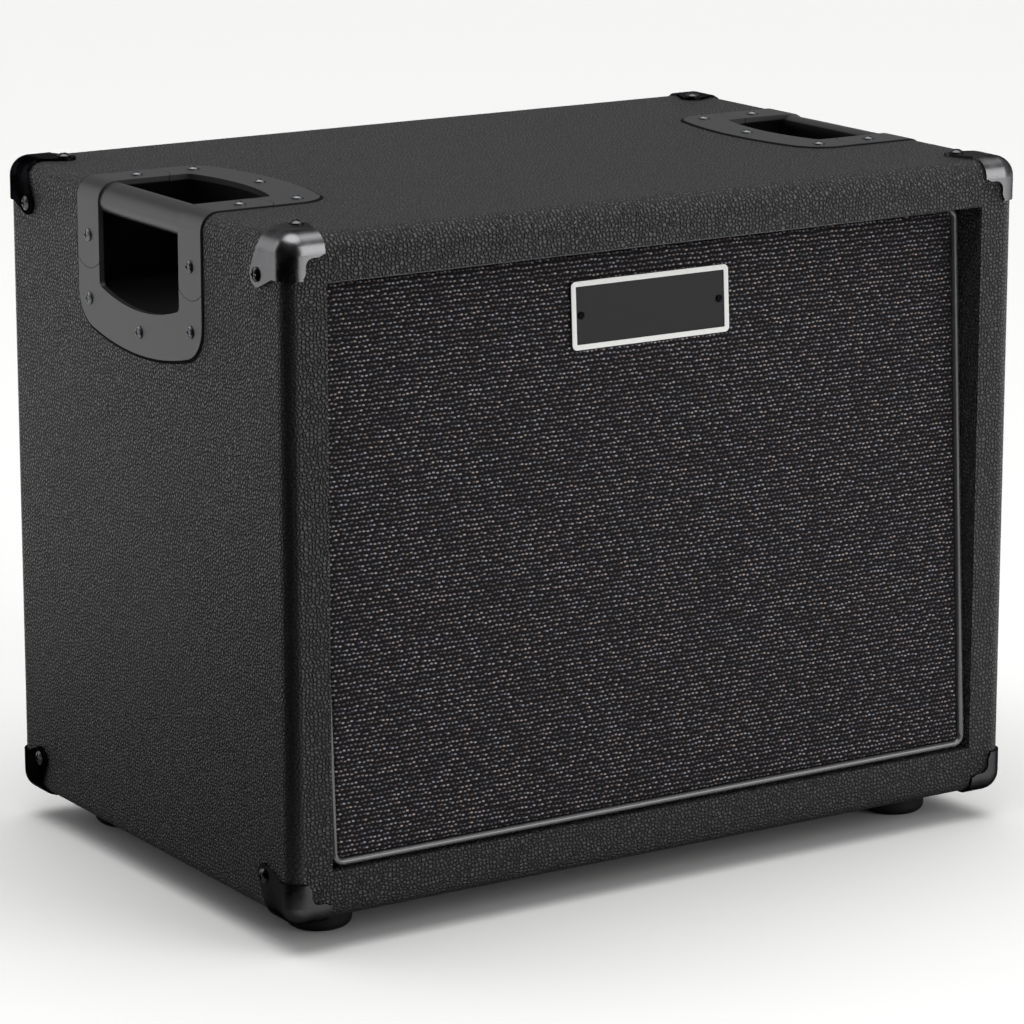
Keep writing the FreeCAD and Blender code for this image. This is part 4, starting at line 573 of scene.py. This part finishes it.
wornBy = {  # which workshop pieces take which finish
    "vinyl": ["vinyl_covering", "back_panel_vinyl"],
    "birch": ["back_battens", "back_panel", "bottom_board", "front_strip_bottom", "front_strip_left",
              "front_strip_right", "front_strip_top", "left_side_board", "right_side_board", "top_board"],
    "blackPly": ["baffle_board", "grille_rail_bottom", "grille_rail_left", "grille_rail_right",
                 "grille_rail_top"],
    "oilBlack": ["badge_screws"],
    "blackScrew": ["back_panel_screws", "corner_screws", "jack_plate_screws", "speaker_bolts"],
    "zinc": ["foot_screws", "foot_washers", "front_plate", "handle_screws", "pole_piece", "tee_nuts"],
    "handle": ["handle_dish_left", "handle_dish_right", "handle_grip_left", "handle_grip_right"],
    "rubber": ["foot_back_left", "foot_back_right", "foot_front_left", "foot_front_right"],
    "copper": ["coil_winding", "jack_links", "terminal_tags"],
    "powder": ["jack_plate", "speaker_basket"],
    "paper": ["dust_cap", "speaker_cone"],
    "corner": ["corner_protectors"], "badge": ["badge_plate"], "piping": ["grille_piping"],
    "ferrite": ["ceramic_magnet"], "former": ["coil_former"], "nickel": ["jack_nuts"],
    "socket": ["jack_sockets"], "gasket": ["speaker_gasket"], "phenolic": ["terminal_block"],
}
for word, names in wornBy.items():
    for name in names:
        nodes[name].data.materials.clear()
        nodes[name].data.materials.append(finish[word])
print("workshop pieces dressed")


# speaker wires and tinsel leads
wireRuns = {
    "blackSpeakerWire": ("blackWire", [
        (-0.007, -0.05238, 0.12813), (-0.007, -0.01843, 0.12625), (-0.0145, 0.03924, 0.10037),
        (-0.022, 0.0969, 0.0925), (-0.022, 0.1309, 0.0925),
    ]),
    "redSpeakerWire": ("redWire", [
        (0.007, -0.05238, 0.12813), (0.007, -0.01843, 0.12625), (-0.0035, 0.03924, 0.10037),
        (-0.014, 0.0969, 0.0925), (-0.014, 0.1309, 0.0925),
    ]),
}
wireLook = {"diameter": 0.0026}
tinselLook = {
    "diameter": 0.0016, "across": 0.007, "down": 0.0825,
    "cone": 0.0292, "tag": 0.0707,  # depths of the two ends
    "bow": 0.006,  # slack that takes up the cone's travel
}


def nurbsLine(name, points):  # one smooth spline through the pull of the route's points
    curve = bpy.data.curves.new(name, "CURVE")
    curve.dimensions = "3D"
    curve.resolution_u = 16
    spline = curve.splines.new("NURBS")
    spline.points.add(len(points) - 1)
    for point, place in zip(spline.points, points):
        point.co = (*place, 1.0)
    spline.order_u = 3
    spline.use_endpoint_u = True
    piece = bpy.data.objects.new(name, curve)
    scene.collection.objects.link(piece)
    return piece


def linePoints(piece):  # the points that the spline itself runs through
    bpy.context.view_layer.update()
    mesh = bpy.data.meshes.new_from_object(piece.evaluated_get(bpy.context.evaluated_depsgraph_get()))
    points = [v.co.copy() for v in mesh.vertices]
    bpy.data.meshes.remove(mesh)
    return points


def lineLength(points):
    return sum((b - a).length for a, b in zip(points, points[1:]))


def layWires(runs, look):
    for name, (coat, points) in runs.items():
        wire = nurbsLine(name, points)
        length = lineLength(linePoints(wire))
        wire.data.bevel_depth = look["diameter"] / 2
        wire.data.bevel_resolution = 4
        wire.data.use_fill_caps = True
        wire.data.materials.append(finish[coat])
        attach(wire, "cabinet")
        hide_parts("speaker_wires")


def tubeMesh(points, radius, sides=10):  # rings round each point, and a cap at each end
    rings, faces = [], []
    side = Vector((1.0, 0.0, 0.0))
    for i, place in enumerate(points):
        ahead = (points[min(i + 1, len(points) - 1)] - points[max(i - 1, 0)]).normalized()
        over = ahead.cross(side).normalized()
        for k in range(sides):
            turn = 2 * math.pi * k / sides
            rings.append(place + radius * (math.cos(turn) * side + math.sin(turn) * over))
    for i in range(len(points) - 1):
        for k in range(sides):
            a, b = i * sides + k, i * sides + (k + 1) % sides
            faces.append((a, b, b + sides, a + sides))
    faces.append(tuple(range(sides))[::-1])
    faces.append(tuple(range(len(rings) - sides, len(rings))))
    return rings, faces


def layTinsel(look):
    halfway = (look["tag"] + look["cone"]) / 2
    route = [(look["down"], look["tag"]), (look["down"] + look["bow"], halfway), (look["down"], look["cone"])]
    for word, sign in (("Left", -1), ("Right", 1)):
        ends = [speaker @ Vector((sign * look["across"], down, deep)) for down, deep in route]
        line = nurbsLine("tinselLine" + word, ends)
        points = linePoints(line)
        bpy.data.objects.remove(line)
        lead = newPiece("tinselLead" + word, *tubeMesh(points, look["diameter"] / 2), finish["copper"])
        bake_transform(lead)
        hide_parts("tinsel_leads")


layWires(wireRuns, wireLook)
layTinsel(tinselLook)
print("wires laid")


# grille cloth: each bright dash is a weft float standing over the black ground, so the mesh carries it too
clothLook = {
    "halfWide": 0.2206, "low": 0.0056, "high": 0.3311, "deep": 0.0126,
    "roll": 0.0026,  # radius at the rail's edge
    "rollSteps": 6, "sideSteps": 5,
    "dash": 0.00275, "row": 0.00274,  # spacing of the floats along a row, and of the rows
    "stand": 0.00022, "dip": -0.00018, "between": -0.00002, "uneven": 0.00004,
    "seed": 7,
}
weaveLook = {
    "gap": "#040304", "rowTone": "#282528",
    "thread": ("#8d92a0", "#a4938b"),  # cool and warm floats
    "rowEdge": (0.42, 0.1),  # shares of a row, out from its middle: where it starts to rise, and is up
    "web": 0.55,  # share of the row's tone that crosses the gaps
    "sway": 0.5, "swayAcross": 14.0,  # share of a row that it wanders, and mm over which it does
    "stray": (0.4, 0.3),  # shares of a cell that a float lies off its place, along and up
    "float": (0.34, 0.2), "floatEdge": (1.2, 0.6),  # half its length and height in cells, how its rim fades
    "shine": (0.16, 1.0), "rare": 2.0,  # dullest and brightest float, the power that makes bright ones rare
    "fibre": 0.8, "depth": 0.15,  # mm across a fibre, and high
    "fibreRange": (0.3, 0.7),  # of its noise, from no fuzz to full
    "rough": (0.85, 0.4),  # of the ground, and of a float
}


def makeWeave(look, dash, row):
    # cotton and metallised yarn, woven: black gaps, charcoal rows, and broken silver dashes along them
    made, tree, shader = startMaterial("wovenGrilleCloth", {"IOR": 1.5, "Specular IOR Level": 0.15})
    mm = inMillimetres(tree)
    axes = addNode(tree, "SeparateXYZ", links={0: mm})
    # rows that wander a little, and cells along them, every other row shifted by half a cell
    sway = addNode(tree, "TexNoise", {"Scale": 1 / look["swayAcross"], "Detail": 1.0}, {"Vector": mm})[0]
    settled = 0.5 - look["sway"] / 2  # so that the noise's middle leaves a row in its place
    sway = addNode(tree, "Math", {"operation": "MULTIPLY_ADD", 1: look["sway"], 2: settled}, {0: sway})[0]
    up = addNode(tree, "Math", {"operation": "MULTIPLY_ADD", 1: 1 / row}, {0: axes["Z"], 2: sway})[0]
    rowNumber = addNode(tree, "Math", {"operation": "FLOOR"}, {0: up})[0]
    shift = addNode(tree, "Math", {"operation": "MULTIPLY_ADD", 1: 0.5, 2: 0.5}, {0: rowNumber})[0]
    along = addNode(tree, "Math", {"operation": "MULTIPLY_ADD", 1: 1 / dash}, {0: axes["X"], 2: shift})[0]
    number = addNode(tree, "Math", {"operation": "FLOOR"}, {0: along})[0]
    cell = addNode(tree, "CombineXYZ", links={0: number, 1: rowNumber})[0]
    luck = addNode(tree, "TexWhiteNoise", {"noise_dimensions": "2D"}, {"Vector": cell})
    spot = addNode(tree, "CombineXYZ", links={0: along, 1: up})[0]
    spot = addNode(tree, "VectorMath", {"operation": "FRACTION"}, {0: spot})[0]
    spot = addNode(tree, "VectorMath", {"operation": "SUBTRACT", 1: (0.5, 0.5, 0.0)}, {0: spot})[0]
    height = addNode(tree, "SeparateXYZ", links={0: spot})["Y"]
    height = addNode(tree, "Math", {"operation": "ABSOLUTE"}, {0: height})[0]
    # each cell's float lies a little off its middle, as an oval
    nudge = addNode(tree, "VectorMath", {"operation": "SUBTRACT", 1: noiseMiddle}, {0: luck["Color"]})[0]
    stray = (*look["stray"], 0.0)
    spot = addNode(tree, "VectorMath", {"operation": "MULTIPLY_ADD", 1: stray}, {0: nudge, 2: spot})[0]
    spot = addNode(tree, "VectorMath", {"operation": "DIVIDE", 1: (*look["float"], 1.0)}, {0: spot})[0]
    away = addNode(tree, "VectorMath", {"operation": "LENGTH"}, {0: spot})["Value"]
    onRow, mask = [
        addNode(tree, "MapRange", {
            "interpolation_type": "SMOOTHSTEP", "From Min": start, "From Max": full,
        }, {"Value": source})[0]
        for (start, full), source in ((look["rowEdge"], height), (look["floatEdge"], away))
    ]
    shine = addNode(tree, "Math", {"operation": "POWER", 1: look["rare"]}, {0: luck["Value"]})[0]
    dull, bright = look["shine"]
    shine = addNode(tree, "MapRange", {"To Min": dull, "To Max": bright}, {"Value": shine})[0]
    amount = addNode(tree, "Math", {"operation": "MULTIPLY"}, {0: mask, 1: shine})[0]
    fibre = addNode(tree, "TexNoise", {"Scale": 1 / look["fibre"], "Detail": 2.0}, {"Vector": mm})[0]
    thin, thick = look["fibreRange"]
    fuzz = addNode(tree, "MapRange", {"From Min": thin, "From Max": thick}, {"Value": fibre})[0]
    web = addNode(tree, "MapRange", {"To Min": look["web"], "To Max": 1.0}, {"Value": onRow})[0]
    fuzz = addNode(tree, "Math", {"operation": "MULTIPLY"}, {0: web, 1: fuzz})[0]
    tint = addNode(tree, "SeparateColor", links={0: luck["Color"]})["Blue"]
    ground, thread = [
        addNode(tree, "Mix", {"data_type": "RGBA", 6: linear(first), 7: linear(last)}, {0: share})[2]
        for (first, last), share in (((look["gap"], look["rowTone"]), fuzz), (look["thread"], tint))
    ]
    colour = addNode(tree, "Mix", {"data_type": "RGBA"}, {0: amount, 6: ground, 7: thread})[2]
    matt, glossy = look["rough"]
    rough = addNode(tree, "MapRange", {"To Min": matt, "To Max": glossy}, {"Value": mask})[0]
    depth = look["depth"] / mmPerMetre
    bump = addNode(tree, "Bump", {"Strength": 0.6, "Distance": depth}, {"Height": fibre})[0]
    joinSurface(tree, shader, colour, rough, bump)
    return made


def edgeLines(flatHalf, step, look):  # grid lines from the middle out: the flat, the rolled edge, the side
    flat = step * np.arange(int(flatHalf / step) + 1)
    rolled = flatHalf + look["roll"] * np.linspace(0, math.pi / 2, look["rollSteps"] + 1)[1:]
    sides = rolled[-1] + np.linspace(0, look["deep"] - look["roll"], look["sideSteps"] + 1)[1:]
    return np.concatenate([flat, rolled, sides])


def stretchCloth(look):
    middle = (look["low"] + look["high"]) / 2
    flatWide = look["halfWide"] - look["roll"]
    flatHigh = (look["high"] - look["low"]) / 2 - look["roll"]
    across = edgeLines(flatWide, look["dash"] / 2, look)
    upward = edgeLines(flatHigh, look["row"] / 2, look)
    columns = np.arange(-len(across) + 1, len(across))
    rows = np.arange(-len(upward) + 1, len(upward))
    s, t = np.meshgrid(np.sign(columns) * across[abs(columns)], np.sign(rows) * upward[abs(rows)])
    c, r = np.meshgrid(columns, rows)
    pastWide, pastHigh = np.maximum(abs(s) - flatWide, 0), np.maximum(abs(t) - flatHigh, 0)
    past = np.maximum(pastWide, pastHigh)
    reach = np.hypot(pastWide, pastHigh) + 1e-12  # never quite zero, to divide by
    outWide, outHigh = np.sign(s) * pastWide / reach, np.sign(t) * pastHigh / reach
    angle = np.minimum(past / look["roll"], math.pi / 2)
    turned, forward = np.sin(angle), np.cos(angle)
    x = np.clip(s, -flatWide, flatWide) + outWide * look["roll"] * turned
    z = np.clip(t, -flatHigh, flatHigh) + outHigh * look["roll"] * turned
    y = look["roll"] * (1 - forward) + np.maximum(past - look["roll"] * math.pi / 2, 0)
    onRow = r % 2 == 0
    floats = onRow & ((c % 2) == ((r // 2) % 2))
    relief = np.where(floats, look["stand"], np.where(onRow, look["between"], look["dip"]))
    jitter = np.random.default_rng(look["seed"]).normal(0, look["uneven"], relief.shape)
    relief = (relief + jitter) * np.where(past > 0, 0.0, 1.0)
    points = np.stack([x, y - relief * forward, z], -1).reshape(-1, 3)
    wide = len(columns)
    starts = [i * wide + k for i in range(len(rows) - 1) for k in range(wide - 1)]
    faces = [(a, a + 1, a + wide + 1, a + wide) for a in starts]
    weave = makeWeave(weaveLook, mmPerMetre * look["dash"], mmPerMetre * look["row"])
    cloth = newPiece("grilleClothWoven", points, faces, weave)
    cloth.matrix_world = lean @ Matrix.Translation((0.0, 0.0, middle))
    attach(cloth, "grille")
    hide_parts("grille_cloth")
    flat = (2 * float(across[-1]), 2 * float(upward[-1]))
    return flat


print("grille cloth stretched, cut size %.3f by %.3f m" % stretchCloth(clothLook))


# surround and spider: rings of waved cloth in sectors, between the basket and the cone
surroundLook = {
    "outer": 0.1373, "held": 0.127, "freed": 0.114, "inner": 0.109,  # radii: hem, waves, hem
    "level": 0.0112, "gauge": 0.0008, "waves": 2, "rise": 0.0018,
    "sectors": 24, "steps": 6, "hemSteps": 3, "waveSteps": 12,
}
spiderLook = {
    "outer": 0.0779, "held": 0.068, "freed": 0.028, "inner": 0.0231,
    "level": 0.0653, "gauge": 0.0007, "waves": 4, "rise": 0.0016,
    "sectors": 16, "steps": 6, "hemSteps": 3, "waveSteps": 12,
}


def waveRing(name, look, material, node):
    radii = np.concatenate([
        np.linspace(look["outer"], look["held"], look["hemSteps"] + 1)[:-1],
        np.linspace(look["held"], look["freed"], look["waveSteps"] * look["waves"] + 1),
        np.linspace(look["freed"], look["inner"], look["hemSteps"] + 1)[1:],
    ])
    share = np.clip((radii - look["freed"]) / (look["held"] - look["freed"]), 0, 1)
    front = look["level"] - look["rise"] * np.sin(math.pi * look["waves"] * share) ** 2
    profile = list(zip(radii, front)) + list(zip(radii[::-1], front[::-1] + look["gauge"]))
    count = len(profile)
    width = 2 * math.pi / look["sectors"]
    for sector in range(look["sectors"]):
        angles = [(sector + i / look["steps"]) * width for i in range(look["steps"] + 1)]
        points = [speaker @ Vector((r * math.cos(a), r * math.sin(a), d)) for a in angles for r, d in profile]
        faces = []
        for i in range(look["steps"]):
            for k in range(count):
                a, b = i * count + k, i * count + (k + 1) % count
                faces.append((a, a + count, b + count, b))
        piece = newPiece("%s%02d" % (name, sector + 1), points, faces, material)
        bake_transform(piece)
        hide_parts(node)


waveRing("surroundSector", surroundLook, finish["surround"], "speaker_surround")
waveRing("spiderSector", spiderLook, finish["spider"], "spider")
print("surround and spider hung")

# painted shadow: a black bead laid round each handle's plates, standing for the dark gap line there
shadowLineLook = {  # mm
    "halfLong": 74.0, "reach": 92.7, "bow": 12.3, "corner": 22.0,  # the plates' outline on each face
    "bead": [(0.1, -1.0), (0.1, 0.3), (0.6, 0.45), (1.3, 0.35), (1.9, 0.02),
             (0.75, 0.02), (0.75, -1.0)],  # out from the plate, up from the vinyl
    "straightSteps": 5, "roundSteps": 8, "edgeSteps": 6,
}


def plateOutline(grow, look):  # half of the outline, from the box's edge to the middle of the bowed end
    wide, bend = look["halfLong"] + grow, look["corner"] + grow
    sweep = (wide ** 2 + look["bow"] ** 2) / (2 * look["bow"])
    centre = look["reach"] + grow - sweep
    turnAt = centre + math.sqrt((sweep - bend) ** 2 - (wide - bend) ** 2)
    last = math.atan2(turnAt - centre, wide - bend)
    line = [(wide, float(w)) for w in np.linspace(edgeRadius, turnAt, look["straightSteps"] + 1)[:-1]]
    line += [(wide - bend + bend * math.cos(a), turnAt + bend * math.sin(a))
             for a in np.linspace(0, last, look["roundSteps"] + 1)]
    return line + [(sweep * math.cos(a), centre + sweep * math.sin(a))
                   for a in np.linspace(last, math.pi / 2, look["roundSteps"] + 1)[1:]]


def beadLoop(grow, rise, sign, look):  # once round the plates: the side's, over the edge, the top's
    side, top, bend = boxHigh.x, boxHigh.z, edgeRadius
    half = plateOutline(grow, look)
    whole = [(-y, w) for y, w in half[:-1]] + half[::-1]
    over = np.linspace(0, math.pi / 2, look["edgeSteps"] + 1)[1:-1]
    down = [(side + rise, y, top - w) for y, w in whole]
    upward = [(side - w, y, top + rise) for y, w in whole[::-1]]
    lift = bend + rise
    turn = [(side - bend + lift * math.cos(a), top - bend + lift * math.sin(a)) for a in over]
    there = [(x, whole[-1][0], z) for x, z in turn]
    back = [(x, whole[0][0], z) for x, z in turn[::-1]]
    return [Vector((sign * x, y, z)) / mmPerMetre for x, y, z in down + there + upward + back]


def layShadowLines(look):
    for word, sign in (("Left", -1), ("Right", 1)):
        loops = [beadLoop(grow, rise, sign, look) for grow, rise in look["bead"]]
        count, ways = len(loops[0]), len(loops)
        faces = []
        for i in range(count):
            for k in range(ways):
                a, b = k * count, (k + 1) % ways * count
                face = (a + i, a + (i + 1) % count, b + (i + 1) % count, b + i)
                faces.append(face if sign > 0 else face[::-1])
        # painted shadow: the black line round the plates
        gasket = newPiece("handleShadowLine" + word, [p for loop in loops for p in loop], faces, finish["shadowLineBlack"])
        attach(gasket, "cabinet")


# painted shadow: black lines round the handle plates
layShadowLines(shadowLineLook)
print("handle gaskets laid")


# hook and loop tape, stuck to the grille's back and the baffle's face
padLook = {
    "across": 0.2048, "heights": (0.0714, 0.2653),  # pad middles each side, and up the lean
    "wide": 0.02, "long": 0.05, "gauge": 0.0005,  # tape without its pile
    "grilleBack": 0.0128, "baffleFace": 0.0158,  # depths behind the cloth's front
    "weave": 0.001, "rib": 0.00008,  # thread spacing, drawn about twice too coarse to show, and its relief
    "pitch": 0.002, "stand": 0.0009, "wire": 0.00011,  # of the hooks and loops
    "each": (4, 11),  # how many there are each way from the middle, across and along
    "scatter": 0.25,  # share of the pitch that one stands off its place
    "tall": (0.8, 1.0), "sunk": 0.7,  # shares: of the stand that one reaches, of the gauge where its foot is
    "seed": 11,
}
# shares of the stand, along the tape and out from it
hookShape = [(0.0, 0.0), (0.0, 0.55), (0.25, 0.9), (0.55, 0.95), (0.75, 0.65)]
loopShape = [(-0.5, 0.0), (-0.75, 0.45), (-0.5, 0.85), (0.0, 1.0), (0.5, 0.85), (0.75, 0.45), (0.5, 0.0)]


def tapeMesh(across, up, back, facing, look):  # woven strip: ribbed face, plain edges and back
    weave = look["weave"]
    columns, rows = int(look["wide"] / weave), int(look["long"] / weave)
    points, faces = [], []
    for i in range(columns + 1):
        for k in range(rows + 1):
            inside = 0 < i < columns and 0 < k < rows
            face = back + facing * (look["gauge"] + look["rib"] * (-1) ** (i + k) * inside)
            points.append(Vector((across + weave * (i - columns / 2), face, up + weave * (k - rows / 2))))
    for i in range(columns):
        for k in range(rows):
            a = i * (rows + 1) + k
            faces.append((a, a + rows + 1, a + rows + 2, a + 1))
    ring = [i * (rows + 1) for i in range(columns)] + [columns * (rows + 1) + k for k in range(rows)]
    ring += [i * (rows + 1) + rows for i in range(columns, 0, -1)] + list(range(rows, 0, -1))
    start = len(points)
    points += [Vector((points[a].x, back, points[a].z)) for a in ring]
    count = len(ring)
    faces += [(ring[i], start + i, start + (i + 1) % count, ring[(i + 1) % count]) for i in range(count)]
    faces.append(tuple(range(start, start + count))[::-1])
    return points, faces if facing < 0 else [face[::-1] for face in faces]


def stickPads(name, body, node, back, facing, shape, look):
    luck = np.random.default_rng(look["seed"])
    places = [(side * look["across"], up) for side in (-1, 1) for up in look["heights"]]
    columns, rows = [look["pitch"] * np.arange(-each, each + 1) for each in look["each"]]
    scatter = look["scatter"]
    for number, (across, up) in enumerate(places):
        points, faces = tapeMesh(across, up, back, facing, look)
        for x in columns:
            for z in rows:
                dx = luck.uniform(-scatter, scatter) * look["pitch"]
                dz = luck.uniform(-scatter, scatter) * look["pitch"]
                tall = luck.uniform(*look["tall"])
                foot = Vector((across + x + dx, back + facing * look["gauge"] * look["sunk"], up + z + dz))
                shaped = [Vector((0.0, facing * out * tall, along)) for along, out in shape]
                line = [foot + look["stand"] * place for place in shaped]
                rings, sides = tubeMesh(line, look["wire"], sides=4)
                faces += [tuple(len(points) + i for i in side) for side in sides]
                points += rings
        pad = newPiece("%s%d" % (name, number + 1), points, faces, finish["tape"], smooth=False)
        pad.matrix_world = lean
        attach(pad, body)
        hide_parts(node)


stickPads("hookPad", "grille", "grille_hook_pads", padLook["grilleBack"], 1, hookShape, padLook)
stickPads("loopPad", "cabinet", "baffle_loop_pads", padLook["baffleFace"], -1, loopShape, padLook)
print("hook and loop pads stuck on")
